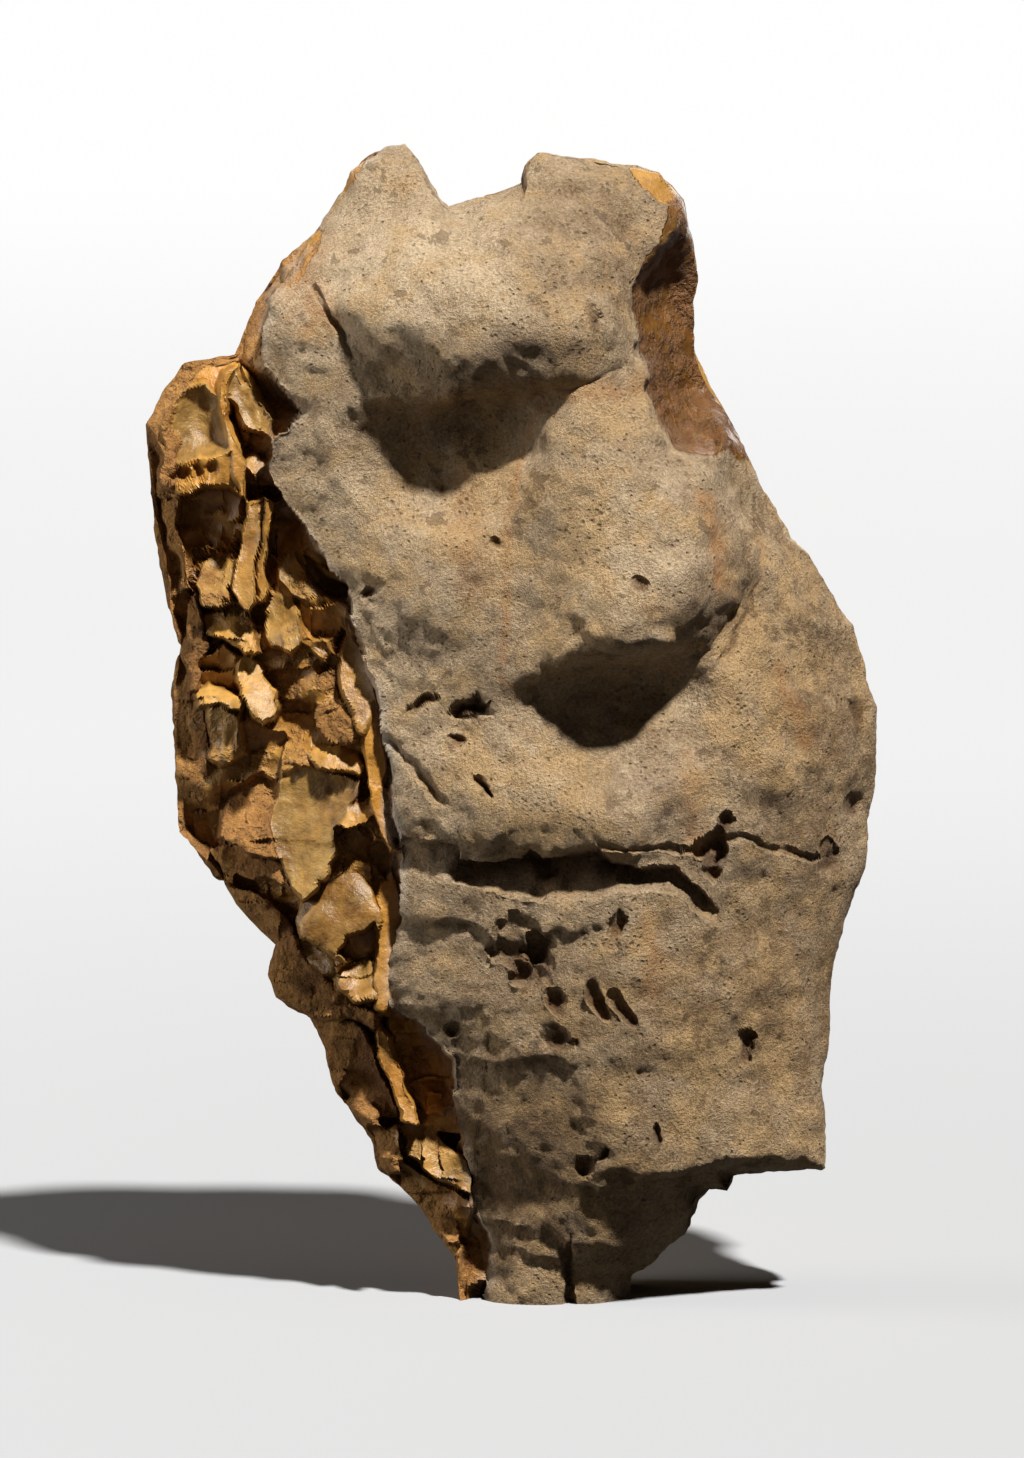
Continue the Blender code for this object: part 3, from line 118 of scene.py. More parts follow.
# The middle of the stone's box in the tables' x and y, which becomes the origin.
MIDDLE = (0.205, -4.492)

# The silhouette, clockwise from the foot's left end: x, z, the front corner's y, the edge's thickness
# and how far the front rounds over to it.
OUTLINE = [
    (-10, -8, -6, 16, 9),
    (-12, 9, -6, 14, 6),
    (-18, 20, 0, 12, 4),
    (-27.5, 28.5, -5, 22, 4),
    (-29.2, 34.5, -5, 23, 4),
    (-32.5, 38.7, -5, 24, 4),
    (-36.6, 44.5, -5, 25, 4),
    (-38.8, 54, -5, 26, 4),
    (-41.8, 59.8, -5, 25, 4),
    (-49, 63.9, -3, 24, 4),
    (-50.5, 68.7, -3, 24, 4),
    (-48.8, 75, -3, 24, 4),
    (-57.3, 83.2, -3, 22, 4),
    (-62.1, 90.8, -3, 22, 4),
    (-68.7, 98.3, -3, 22, 4),
    (-68.8, 107, -3, 22, 4),
    (-70, 127.7, -3, 22, 4),
    (-68.6, 137, -3, 22, 4),
    (-70.8, 145.2, -3, 22, 4),
    (-74, 167, -3, 22, 4),
    (-75.3, 182.5, -3, 22, 4),
    (-72.2, 187.7, -3, 22, 4),
    (-67.2, 194.2, -3, 21, 3),
    (-56.9, 196.6, -3, 22, 3),
    (-54.6, 202, -3, 21, 3),
    (-51.7, 208.3, 3, 14, 4),
    (-47, 216.2, 0, 13, 5),
    (-39.1, 222.4, -2, 12, 6),
    (-34.4, 230, -3, 12, 6),
    (-33, 234.2, -4, 11, 5),
    (-28, 238, -5, 10, 5),
    (-22.1, 239.9, -5, 10, 5),
    (-19.4, 236.3, -5, 10, 5),
    (-14.9, 228, -5, 11, 5),
    (-13.2, 226.4, -5, 12, 5),
    (-2.5, 230, -5, 12, 5),
    (2.1, 231.7, -5, 12, 5),
    (2.9, 235.4, -5, 11, 5),
    (5.4, 237.8, -5, 11, 6),
    (17.2, 237.3, -5, 11, 6),
    (29.8, 233.6, -2, 12, 6),
    (34.8, 228, 4, 9, 4),
    (38.1, 213, 8, 8, 3),
    (37, 207, 9, 8, 3),
    (37.4, 197, 9, 8, 3),
    (40, 190.8, 8, 8, 3),
    (46.8, 180, 6, 10, 4),
    (54.4, 165, 4, 12, 8),
    (57.6, 158.8, 4, 12, 10),
    (61.2, 155.6, 4, 12, 10),
    (69.5, 141, 5, 12, 12),
    (72.8, 130, 5, 12, 12),
    (74.9, 124.5, 5, 12, 12),
    (75.1, 108, 5, 12, 12),
    (73.6, 102.8, 5, 12, 12),
    (73.4, 94.6, 4, 12, 12),
    (68.9, 81, 3, 12, 10),
    (66.6, 67.7, 0, 12, 10),
    (63.7, 46, -3, 12, 8),
    (64.7, 36.6, -5, 10, 6),
    (64.6, 28.3, -5, 9, 5),
    (46.1, 26.7, -4, 14, 5),
    (44.7, 23.6, -4, 14, 5),
    (41, 24.2, -4, 16, 5),
    (38.5, 22, -4, 16, 5),
    (35.8, 15, -3, 16, 6),
    (28.6, 8.1, -2, 16, 8),
    (24.8, 6.2, -2, 16, 8),
    (24, -8, -2, 16, 10),
]

# The outline's left side runs up to the first of these rows, and its right side down from the second.
OUTLINE_TOP_LEFT = 32
OUTLINE_TOP_RIGHT = 39

# Where the rind ends and the broken flint begins, from the foot to the top: x, z.
BORDER = [
    (-5.6, 0), (-5.2, 7.7), (-6.6, 13.9), (-8.3, 22.1), (-8.7, 29.4), (-11.8, 37.7), (-12.8, 42.8),
    (-13.4, 51.1), (-19, 59.4), (-25.2, 62.5), (-24.6, 67.7), (-23.6, 75.9), (-22.1, 84.2),
    (-22.8, 94.6), (-24, 104.9), (-24.8, 113.2), (-26.7, 121.5), (-27.9, 127.7), (-30.4, 133.9),
    (-34.6, 141.1), (-34.6, 149.4), (-39.7, 157.7), (-45.9, 164.9), (-50, 171.1), (-49, 179.4),
    (-43.9, 185.6), (-51.1, 194.9), (-50.5, 201), (-49, 210.4), (-42, 221), (-34.5, 231),
    (-24.2, 240),
]

# The rind's broad form at nine heights: z, the crest's x, then how far out it stands at the crest, at
# the flint border and at the right-hand edge.
STATIONS = [
    (-4, 8, 23, 14, 8),
    (32, 12, 27, 18, 9),
    (64, 18, 31, 20, 6),
    (97, 20, 35, 24, 0),
    (130, 16, 34, 24, -2),
    (165, 14, 34, 18, 0),
    (200, 10, 32, 17, 6),
    (222, 8, 22, 12, 4),
    (242, 8, 8, 5, 2),
]

# How late the rind falls away from its crest to the flint border and to the right-hand edge.
LEFT_FALL = 2.0
RIGHT_FALL = 1.7

# How far above and below a height its neighbours are averaged in: stations, ridge, border and back.
STATION_REACH = 7.0
RIDGE_REACH = 4.0
BORDER_REACH = 12.0
BACK_REACH = 16.0

# Narrower than this, a part of the outline counts as this wide.
NARROW = 4.0

# How far past the flint border and the right-hand edge the fall goes on, in widths of the rind's half.
LEFT_LIMIT = 1.05
RIGHT_LIMIT = 1.3

# Landforms on the rind: name, x, z, the reach to the left, right, down and up, how far out (or in, if
# negative) the middle stands, and how steeply it rises.
SWELLS = [
    ("brow", -3, 205, 34, 34, 16, 26, 12, 0.9),
    ("brow shoulder", -34, 206, 18, 22, 14, 18, 2.5, 1.6),
    ("eye hollow", -15, 180, 22, 24, 22, 10, -9, 1.2),
    ("eye hollow, inner end", 1, 185, 20, 14, 14, 7, -5, 1.5),
    ("cheek", -14, 148, 24, 26, 30, 20, 3, 2),
    ("hollow below the knob", 23, 125, 26, 24, 22, 12, -7.5, 1.6),
    ("right cheek", 54, 112, 22, 20, 36, 34, 4, 2),
    ("lip", 18, 105, 30, 24, 12, 24, 4, 1.1),
    ("left block", -15, 103, 12, 16, 10, 16, 4, 0.9),
    ("chin", 20, 62, 34, 34, 26, 24, 3, 2),
    ("dip above the foot", -1, 27, 15, 18, 12, 13, -2, 1.6),
    ("boss at lower right", 26, 34, 14, 14, 16, 14, 2.5, 1.6),
    ("notch valley", -11, 226, 12, 16, 18, 14, -4, 1.6),
]

# The ridge that ends in the knob: z, its crest's x and height, and its reach to the left and the right.
RIDGE = [
    (128, 34.5, 16, 34, 17.5),
    (140, 34.5, 17.5, 34, 17.5),
    (150, 36.5, 17, 36, 15.5),
    (160, 37, 13.8, 38, 14),
    (172, 34, 10, 37, 11.5),
    (182, 31, 6.5, 33, 10),
    (190, 27, 3.5, 26, 9),
    (200, 24, 0, 16, 8),
]
RIDGE_LEFT_STEEP = 1.6
RIDGE_RIGHT_STEEP = 0.6

# The line where the ridge ends: x, z, how high its rounded end reaches above it, and how bluntly it is
# rounded, from 0.5 for a quarter of an ellipse to 1 for a parabola.
RIDGE_FOOT = [
    (0, 131, 3, 0.5), (7, 130.6, 3, 0.5), (14.1, 132.2, 8, 0.5), (22.3, 131, 14, 0.5),
    (28, 130.5, 20, 0.55), (33, 132, 24, 0.8), (38.1, 136, 24, 1), (43, 140, 24, 1),
    (47.2, 145.5, 24, 1), (50.5, 152, 22, 1), (52.3, 158, 20, 1),
]

# Landforms that hang over: x, z, reach sideways, reach down, reach up, how far they sag.
SAG_STEEPNESS = 1.5
SAGS = [
    (34, 142, 26, 9, 24, 2.5),
    (-6, 194, 38, 10, 20, 2),
    (10, 98, 34, 7, 14, 2.5),
]

# Ledges, where the face steps back below a line drawn from left to right: how far it steps back, over
# what height, then x and z along the line.
LEDGES = [
    (3, 26, [(-16, 54), (-2, 42), (12, 32), (26, 25), (38, 17)]),
    (1.4, 2.2, [(-8, 18.5), (0, 16.8), (8, 15.6), (12, 13)]),
    (1.3, 2.2, [(-6, 13.5), (2, 12), (12, 9)]),
    (1.2, 2, [(6, 28), (14, 26.5), (26, 22), (34, 22.5)]),
    (1.5, 1.8, [(-12, 52), (-4, 51.5), (8, 52.5), (12, 50)]),
    (1.5, 2.5, [(-26, 81), (-12, 80), (2, 77), (14, 80.5)]),
]

# Bites out of the rind with a crisp upper edge: x, z, half width, half height, turn in degrees, the
# floor's "out" and how far the wall rises at the bite's edge.
BITES = [
    (41.5, 204, 16.5, 30, 0, -9, 36),
    (48, 185, 10, 14, 35, -2, 30),
]

# Clefts under an overhang, from left to right: x, the upper edge's z, the lower edge's z, the depth.
CLEFTS = [
    [(-26, 99, 90, 0), (-22, 98.2, 89, 2), (-12, 97.6, 88.2, 3.5), (-10.5, 93.6, 87.6, 5),
     (-2, 93.2, 85.6, 7.5), (1.2, 94, 85, 9), (3.3, 97.4, 84.8, 10), (6, 94.2, 84.4, 10),
     (11, 95.6, 84.2, 9.5), (17.6, 98.4, 84.8, 9), (21, 94, 85.4, 8), (27, 90.9, 86, 6),
     (33.7, 90.6, 84.8, 5), (36.8, 87.2, 84, 4.5), (40, 85.9, 81, 3.5), (44, 82.5, 79, 0)],
]

# The share of a cleft's height that its upper wall takes, and how its floor climbs to the lower edge.
CLEFT_WALL = 0.14
CLEFT_CLIMB = 0.7

# Grooves along a line: the steep side's width, the gentle side's width, then x, z and depth along it.
GROOVES = [
    (1.6, 3, [(-56, 195.5, 3), (-50, 190, 5), (-42, 185, 0)]),
    (0.6, 1, [(-41, 211, 1), (-36.5, 201.5, 1.8), (-33, 194, 0)]),
    (0.9, 1.8, [(-24.6, 118.5, 1), (-18, 110, 2), (-11.5, 101.5, 0)]),
    (0.8, 1, [(40, 132, 0.6), (45.5, 137.5, 1.6), (50.5, 147.5, 2), (52, 157, 1.6),
                (48.5, 168, 1.2), (43, 178, 0.6)]),
    (0.6, 0.8, [(13.4, 15, 0.5), (12.5, 8, 2.5), (12.9, -4, 3.5)]),
    (0.8, 1, [(18, 98.7, 0.8), (39, 94.5, 1.3), (47, 96.6, 1), (60, 93.5, 1.4),
                (70, 94.5, 0.8)]),
]

# Pits in the rind: x, z, half width, half height, turn in degrees, depth.
PITS = [
    (-8.7, 123.1, 4.2, 2.6, 10, 3.6),
    (-11.8, 116.3, 1.8, 1.4, 0, 1.6),
    (-5.2, 107.6, 2.8, 1.3, -30, 2.4),
    (-30.4, 147.3, 1.8, 1.6, 0, 1.6),
    (-19, 125, 3, 1, 25, 1.6),
    (41.4, 93.5, 2.9, 5, 0, 4.2),
    (43.4, 99.1, 1.6, 1.8, 0, 2.4),
    (3.1, 72.2, 6, 8.2, 25, 1.8),
    (5, 74, 2.2, 3.6, 30, 2.6),
    (0.5, 69.5, 1.6, 2.4, -20, 2.2),
    (21.3, 79, 2, 4.2, -15, 2.2),
    (9.5, 61.4, 2.1, 2.6, 0, 1.8),
    (18.2, 62.5, 1.2, 4.2, 20, 1.8),
    (23.4, 60.4, 1.1, 3.8, 20, 1.8),
    (8.9, 54.2, 2.6, 3.2, 0, 1.6),
    (-12.4, 56.9, 1.8, 1.6, 0, 1.6),
    (64.8, 93.5, 2, 2.8, 0, 2.6),
    (70.9, 103, 2.2, 1.8, 0, 2.2),
    (71, 122, 2.2, 4.6, 0, 2),
    (30.6, 35, 1.4, 2.6, 10, 2.4),
    (18.6, 31.4, 2.2, 1.6, 0, 2),
    (14.6, 29.2, 1.6, 2.2, 0, 2),
    (37.5, 22.5, 2.2, 2.4, 0, 5),
    (44.5, 24.5, 1.8, 2.2, 0, 5),
    (48.8, 53.2, 1.4, 3.8, 0, 2.6),
    (16.5, 203.5, 1.6, 3.2, 0, 1.8),
    (-3, 157.5, 1.2, 1.2, 0, 1.2),
    (26.8, 151.9, 1.2, 1.2, 0, 1.2),
]

# How ragged a pit's outline is, as a share of its width, and the size of its raggedness.
PIT_RAGGED = 0.42
PIT_RAGGED_SIZE = 2.0

# A pit's walls are cut off at its outline and a little past it. The upper one is steep, the lower gentle.
PIT_REACH = 1.15
PIT_UPPER_WALL = 0.5
PIT_LOWER_WALL = 1.3

# Warps that make drawn outlines ragged: size of a wave and how far it carries a point, both ways.
WARPS = [(11.0, 1.3), (4.5, 0.7), (2.0, 0.3)]

# How far the rind's broken rim stands above the flint beside it, and the width of that step.
RIM_STEP = 1.5
RIM_STEP_WIDTH = 1.2

# Where the flint side is narrower than this, the step is lower in proportion.
FULL_STEP_SPAN = 12.0

# The flint side falls away ever more steeply, to this far above the front corner of the edge.
FLANK_CURVE = 1.4
FLANK_LIFT = 6.0

# Small chips all over the flint face: size, depth and tilt.
CHIPS = [(12.0, 1.9, 0.55), (6.0, 0.9, 0.50), (3.0, 0.45, 0.50)]

# A chip's bowl: its highest edge and how much lower each may lie, in depths, and its reach, in cells.
CHIP_EDGE = 1.8
CHIP_LEVEL = 0.4
CHIP_REACH = 0.9

# Glassy flakes, and what share of the smaller chips' relief marks them and the other flakes.
GLASSY = {
    "bowl rim", "bowl", "bowl lip", "lip scallop 1", "lip scallop 2", "lip scallop 3", "rib", "fan blade 1",
    "fan blade 2", "long blade, left face", "long blade, right face", "smooth plate", "honey strip",
    "round flake", "honey blade", "orange blade", "right plate", "tall facet",
}
GLASSY_CHIPS = 0.12
DULL_CHIPS = 0.9

# Flakes struck off down the left side, each laid over the ones before it: name, how far its facet's
# middle stands above the flint face, its slope along x and along z, its dish, and its corners (x, z).
FLAKES = [
    ("bowl rim", 0.8, 0.3, -0.6, 0, [(-74.9, 183.5), (-67.7, 194.3), (-56.3, 196.3), (-56.3, 193.5),
     (-57.9, 187.7), (-58.3, 179.4), (-55, 173.2), (-54.8, 165.3), (-59.4, 168), (-64.6, 169.5),
     (-69.1, 168.6), (-72.2, 171.1), (-74.1, 177.3)]),
    ("bowl", 0.8, 0.15, -0.25, 5, [(-72.2, 174), (-72.8, 180.4), (-70.3, 185.6), (-66.6, 189.7),
     (-62.1, 190.8), (-59.2, 187.2), (-57.9, 182.5), (-58.6, 176.9), (-62.1, 174.4), (-66.6, 175.2),
     (-69.7, 174.4)]),
    ("bowl lip", 2.2, 0.1, 0.05, 0, [(-72.8, 173.6), (-69.7, 174), (-66.6, 175), (-57.9, 176.1),
     (-54.6, 166.1), (-59.4, 168.4), (-64.6, 169.7), (-68.7, 168.6)]),
    ("lip scallop 1", 1.8, 0.1, -0.35, 1.3, [(-71.2, 171.9), (-69.7, 174.4), (-67.4, 173.6),
     (-67.2, 170.7), (-69.5, 169.5)]),
    ("lip scallop 2", 1.8, 0.1, -0.35, 1.3, [(-67.2, 170.7), (-66.8, 174), (-65.2, 174.8),
     (-63.9, 172.8), (-64.6, 170.3)]),
    ("lip scallop 3", 1.8, 0.1, -0.35, 1.3, [(-64.3, 170.3), (-63.7, 173.6), (-61.7, 174.4),
     (-60.6, 171.5), (-61.7, 169.5)]),
    ("cavity wall", -1.5, 0.9, 0, 0, [(-72.8, 171.5), (-67.9, 168.6), (-67.2, 151.5),
     (-65.8, 147.9), (-68.7, 147.9), (-71.8, 162.8)]),
    ("cavity", -4.5, 0.35, -0.15, 1.5, [(-68.3, 168.6), (-63.5, 169.9), (-58.8, 168.4), (-56.1, 165.3),
     (-56.7, 160.8), (-59.2, 157.5), (-61.2, 157.7), (-63.5, 154.6), (-66.2, 150), (-67.4, 151.5),
     (-68.3, 160.8)]),
    ("rib", 2, 0.1, -0.15, 0, [(-59.2, 193.5), (-56.3, 194.7), (-57.1, 187.7), (-57.9, 183.5),
     (-56.3, 178.3), (-53.6, 173.2), (-54.8, 165.7), (-56.7, 165.9), (-58.1, 173.2), (-59.2, 179.4),
     (-60, 187.7)]),
    ("fan blade 1", 0.2, -0.15, -0.45, 0.9, [(-56.3, 194.7), (-54.2, 190.8), (-51.7, 183.5),
     (-51.3, 179.4), (-53.8, 179.4), (-55.7, 181), (-57.1, 187.7), (-57.1, 191.8)]),
    ("fan blade 2", 0.2, 0.45, -0.25, 0.9, [(-55, 194.5), (-51.7, 189.7), (-48.8, 183.5),
     (-48.8, 179.2), (-51.5, 179.6), (-52.6, 184.6), (-54.2, 190.1)]),
    ("under the fan", -2.5, 0.2, 0.3, 0, [(-55.7, 180.2), (-53.2, 179.4), (-48.8, 179),
     (-49.7, 176.1), (-52.6, 175.7), (-55, 177.3)]),
    ("fan pebble", 0.6, 0.2, -0.4, 0, [(-54.2, 175.2), (-51.7, 175.9), (-49.4, 174.4),
     (-50.5, 171.5), (-52.6, 169), (-53.8, 170.7)]),
    ("long blade, left face", 1.8, 0.3, -0.3, 0.4, [(-55.2, 165.3), (-51.7, 167), (-52.3, 154.6),
     (-53, 145.9), (-54.2, 143.6), (-57.1, 145.9), (-58.6, 150.4), (-57.1, 158.7)]),
    ("long blade, right face", 1.4, -0.8, -0.05, 0.3, [(-51.7, 167.4), (-47.8, 165.7), (-49, 158.7),
     (-50.1, 148.3), (-50.9, 146.3), (-53.2, 145.5), (-52.3, 154.6)]),
    ("deep hollow", -5, 0.3, 0.1, 2, [(-47.4, 164.3), (-43.9, 164.9), (-41.6, 160.8),
     (-42.4, 156.2), (-39.1, 152.3), (-34.1, 148.8), (-34.1, 146.3), (-37.7, 145.5), (-40.1, 146.7),
     (-41.4, 150.4), (-44.3, 155.2), (-47, 154.3), (-48.2, 150), (-50.1, 147.9), (-49.9, 154.6),
     (-48.8, 160.8)]),
    ("ridged flake, top", -1.2, 0.2, -0.8, 0.3, [(-48.4, 150), (-47, 154.3), (-44.3, 155.4),
     (-41.4, 150), (-38.9, 146.3), (-43.9, 144.8), (-45.9, 146.7)]),
    ("ridged flake, foot", -1.2, 0.5, 0.6, 0, [(-44.3, 145), (-38.9, 146.5), (-35, 143.4),
     (-34.8, 138.6), (-38.7, 137.4), (-42.8, 138.6), (-44.9, 142.6)]),
    ("middle flake", 0, 0.55, -0.55, 0.6, [(-51.9, 145.7), (-49.7, 147.9), (-48, 150.2),
     (-45.5, 146.3), (-44.1, 142.1), (-43.7, 136.8), (-46.3, 134.5), (-50.1, 136.8), (-51.9, 140.1)]),
    ("left point", 0.4, 0.1, -0.8, 0.5, [(-64.8, 153.5), (-62.5, 155.4), (-60.4, 158.5),
     (-57.9, 154.1), (-58.6, 149.4), (-56.9, 145.5), (-59.4, 144.8), (-63.5, 145.9), (-65.8, 149.2)]),
    ("left shelf", 0.3, 0.3, -0.75, 0.3, [(-63.7, 144.6), (-57.3, 145.7), (-53.6, 143.2),
     (-52.6, 138), (-51.5, 135.5), (-55.2, 135.5), (-59.4, 137.8), (-62.3, 139.5)]),
    ("left pocket", -2.6, 0.5, 0.6, 0.5, [(-63.7, 135.5), (-59.4, 137.4), (-56.5, 134.9),
     (-56.1, 129.1), (-59.4, 127.5), (-63.3, 129.1)]),
    ("tall facet", 1, 0.15, -0.7, 0.5, [(-56.3, 134.9), (-54, 136.1), (-51.5, 132.8),
     (-48.8, 127.7), (-48.6, 122.3), (-51.7, 119.6), (-54.2, 121.5), (-55.9, 125.6)]),
    ("tall facet pocket", -3, 0.5, 0.4, 0, [(-55.4, 122.9), (-51.7, 119.6), (-47.8, 120),
     (-47.2, 117.7), (-50.5, 115.5), (-53.4, 113.2), (-54.8, 116.3), (-55.9, 119.8)]),
    ("pale shelf", 1.4, 0.1, -1.1, 0, [(-64.8, 127.2), (-61.7, 129.1), (-57.1, 126.8),
     (-55.2, 123.9), (-56.1, 122.1), (-60, 124.3), (-64.3, 124.1)]),
    ("plate under the shelf", 0.4, 0.45, 0.25, 0.5, [(-62.7, 124.3), (-59.6, 124.1), (-56.1, 121.9),
     (-54.8, 117.3), (-54.4, 112.3), (-59.2, 111.7), (-62.3, 114.8)]),
    ("left slot", -2.8, 0.8, 0.2, 0, [(-65.6, 124.6), (-62.9, 124.1), (-62.1, 115.2), (-62.7, 110.7),
     (-65.2, 112.8)]),
    ("crust post", 0.6, 0.5, -0.1, 0, [(-67.4, 146.3), (-65.2, 148.3), (-63.5, 143.2),
     (-61.7, 138), (-63.5, 133.9), (-63.9, 127.7), (-66.2, 127.7), (-67.4, 135.9)]),
    ("olive pocket", -2, 0.4, 0.6, 0, [(-43.9, 136.8), (-40.1, 138), (-35.4, 135.1),
     (-35.2, 132), (-39.3, 132.8), (-42.8, 134.7)]),
    ("olive sliver", 0.5, 0.3, -0.8, 0, [(-43.2, 136.1), (-40.1, 135.9), (-37.4, 134.7),
     (-38.1, 133.2), (-41.6, 134.1)]),
    ("right plate", -0.4, 0.1, -0.3, 0.5, [(-34.8, 141.1), (-33.1, 138), (-30.6, 134.9),
     (-28.6, 130.8), (-27.5, 125.6), (-27.7, 122.7), (-29.4, 118.1), (-32.1, 118.1), (-33.5, 122.5),
     (-35, 127.7), (-35.4, 135.9)]),
    ("rough patch", 0.2, 0.3, -0.4, 0, [(-41.6, 124.3), (-34.6, 125.6), (-32.9, 121.5),
     (-33.3, 116.7), (-38.7, 116.5), (-41.6, 120)]),
    ("middle shelf", 1.2, 0.25, -0.95, 0, [(-42.6, 114.6), (-38.7, 115.9), (-33.5, 114.4),
     (-31.4, 112.1), (-32.5, 109.7), (-36.6, 110.9), (-40.1, 111.3)]),
    ("smooth plate", -0.2, 0.35, -0.2, 1, [(-48.6, 107.6), (-44.3, 109.9), (-40.1, 111.1),
     (-35.6, 110.1), (-32.1, 108.8), (-32.9, 104.9), (-35.8, 100.8), (-37, 96.6), (-38.5, 89.8),
     (-43.2, 84.8), (-45.9, 88.1), (-47.8, 92.5), (-49.2, 98.7)]),
    ("rusty shelf", 0.6, 0.5, -0.65, 0.3, [(-58.3, 105.5), (-51.7, 109), (-48.2, 107.2),
     (-48.8, 98.7), (-47.6, 92.7), (-51.7, 91.9), (-56.3, 94.3), (-60.2, 96.4)]),
    ("rusty ledge", 1, 0.4, -0.9, 0, [(-62.5, 94.3), (-56.3, 94.8), (-47.6, 92.3), (-45.5, 87.9),
     (-51.7, 89.8), (-57.3, 90.6), (-61.7, 91.9)]),
    ("ledge pocket", -3, 0.5, 0.5, 0, [(-61.2, 92.1), (-56.5, 90.8), (-56.1, 87.1), (-59.6, 87.5)]),
    ("tan chip", 2.6, 0.15, -1.1, 0, [(-36.8, 100.1), (-34.6, 103.9), (-31, 106.1), (-29, 105.1),
     (-28.8, 100.8), (-31.9, 100.1), (-34.6, 98.9)]),
    ("tan crumbs", 1, 0.1, -0.6, 0, [(-31, 100.1), (-27.9, 102.6), (-25.4, 97.7), (-26.1, 96),
     (-29, 96.8)]),
    ("chip pocket", -2.8, 0.4, 0.4, 0, [(-36.2, 98.9), (-31.4, 99.5), (-29, 96.2), (-25.9, 94.6),
     (-24, 90.8), (-25.4, 88.3), (-29, 91.9), (-33.5, 94.3), (-35.6, 96.4)]),
    ("lower pocket", -2.8, 0.4, 0.4, 0, [(-33.7, 92.7), (-30.4, 92.3), (-26.9, 88.6), (-24.4, 86.3),
     (-25.9, 83), (-27.7, 83.8), (-30, 88.1)]),
    ("honey strip", 0.8, -0.15, -0.15, 0, [(-31.2, 117.7), (-28.3, 125.6), (-27.1, 123.1),
     (-26.3, 109), (-24.4, 101.8), (-23, 94.1), (-25.2, 94.1), (-27.7, 100.1), (-30.2, 104.9),
     (-31.2, 111.1)]),
    ("round flake", 0.4, 0.25, -0.25, -1.4, [(-43.4, 84.4), (-40.8, 89), (-38.1, 88.6),
     (-34.6, 90), (-31.9, 88.3), (-29.2, 84.2), (-27.3, 81.1), (-27.7, 76.8), (-31.4, 72.6),
     (-35.6, 72.6), (-39.7, 74.7), (-43, 75.7), (-44.1, 80.1)]),
    ("flake notch", -3.2, 0.3, 0.4, 0, [(-34.8, 78.2), (-29, 79.7), (-27.5, 77), (-28.3, 72.6),
     (-33.1, 72), (-35.8, 74.1)]),
    ("low flake, right", 0.6, 0.3, -0.7, 0.4, [(-35, 71.4), (-31.4, 72.8), (-28.1, 71.4),
     (-27.5, 66.6), (-27.9, 63.3), (-32.5, 63.3), (-35, 66.4), (-36.2, 69.3)]),
    ("low flake, left", 0.2, 0.5, -0.55, 0.3, [(-44.1, 74.7), (-39.7, 74.9), (-35.4, 72.8),
     (-36, 69.9), (-39.7, 68.5), (-42.8, 71.6)]),
    ("honey blade", 1, -0.2, -0.05, 0, [(-26.5, 87.5), (-23.6, 88.6), (-22.1, 84.2), (-23.4, 78),
     (-24, 71.8), (-25, 65.6), (-25.9, 60.6), (-28.1, 61.2), (-27.3, 68.7), (-27.7, 78),
     (-27.5, 84.2)]),
    ("rusty band", 0.4, 0.5, 0.25, 0, [(-61.9, 89.8), (-56.3, 88.3), (-51.1, 85.2), (-44.9, 78),
     (-42.8, 71.8), (-37.7, 66.6), (-33.1, 62.5), (-27.1, 59.4), (-28.3, 56.1), (-34.6, 58.8),
     (-41.8, 59.6), (-49.7, 62.9), (-50.9, 71.8), (-55, 79), (-59.2, 83.2)]),
    ("low hollow", -3.5, 0.4, 0.1, 3, [(-25.4, 61.9), (-21.1, 61.4), (-14.9, 56.5), (-12.4, 50.1),
     (-12.2, 43.7), (-14.7, 39.9), (-18, 40.6), (-21.1, 44.9), (-23.2, 51.1), (-24.4, 57.3)]),
    ("hollow floor", -3.6, 0.3, -0.8, 0, [(-21.5, 46.1), (-14.9, 47.4), (-12.8, 44.1), (-14.7, 40.1),
     (-18, 40.6)]),
    ("orange blade", 0.8, 0.1, -0.2, 0, [(-27.9, 59), (-24.4, 55.7), (-22.8, 50.1), (-20.9, 43.9),
     (-18.6, 36.4), (-22.8, 38.3), (-26.1, 47), (-28.3, 53.2)]),
    ("rusty hollow", -1.6, 0.5, 0.3, 1, [(-37.7, 59), (-33.1, 57.7), (-28.3, 53.2), (-26.3, 47),
     (-23.2, 38.7), (-29, 38.3), (-34.6, 43.2), (-37.7, 51.1)]),
    ("pink sliver", 0.8, 0.3, -0.7, 0, [(-36, 42.6), (-31.4, 44.1), (-27.1, 37.9), (-24, 35.8),
     (-29, 34.1), (-32.9, 37.9)]),
    ("pink chip", 0.2, 0.5, -0.25, 0.4, [(-29, 35.8), (-23.2, 37.2), (-20.9, 30.4), (-21.9, 26.3),
     (-26.5, 27.9), (-29.8, 32.1)]),
    ("pale chip", 0.8, 0.1, -0.4, 0.3, [(-23.2, 37.2), (-16.8, 37.9), (-13.7, 33.5), (-9.3, 29.4),
     (-7.9, 23.8), (-14.9, 26.1), (-20.3, 30.4)]),
    ("amber chip", 0.2, 0.5, 0.25, 0.4, [(-22.3, 30), (-14.9, 26.1), (-7.7, 23.4), (-8.1, 19),
     (-10.1, 13.7), (-14.9, 14.7), (-18.2, 20.9), (-22.3, 25)]),
    ("foot chip", 0.3, 0.4, -0.15, 0.4, [(-10.6, 13.7), (-8.1, 19.2), (-5.6, 13.9), (-3.9, 5.2),
     (-8.7, 3.1), (-12.2, 8.5)]),
]

# A facet's edge blends into what it lies on over this width.
FLAKE_EDGE = 0.7

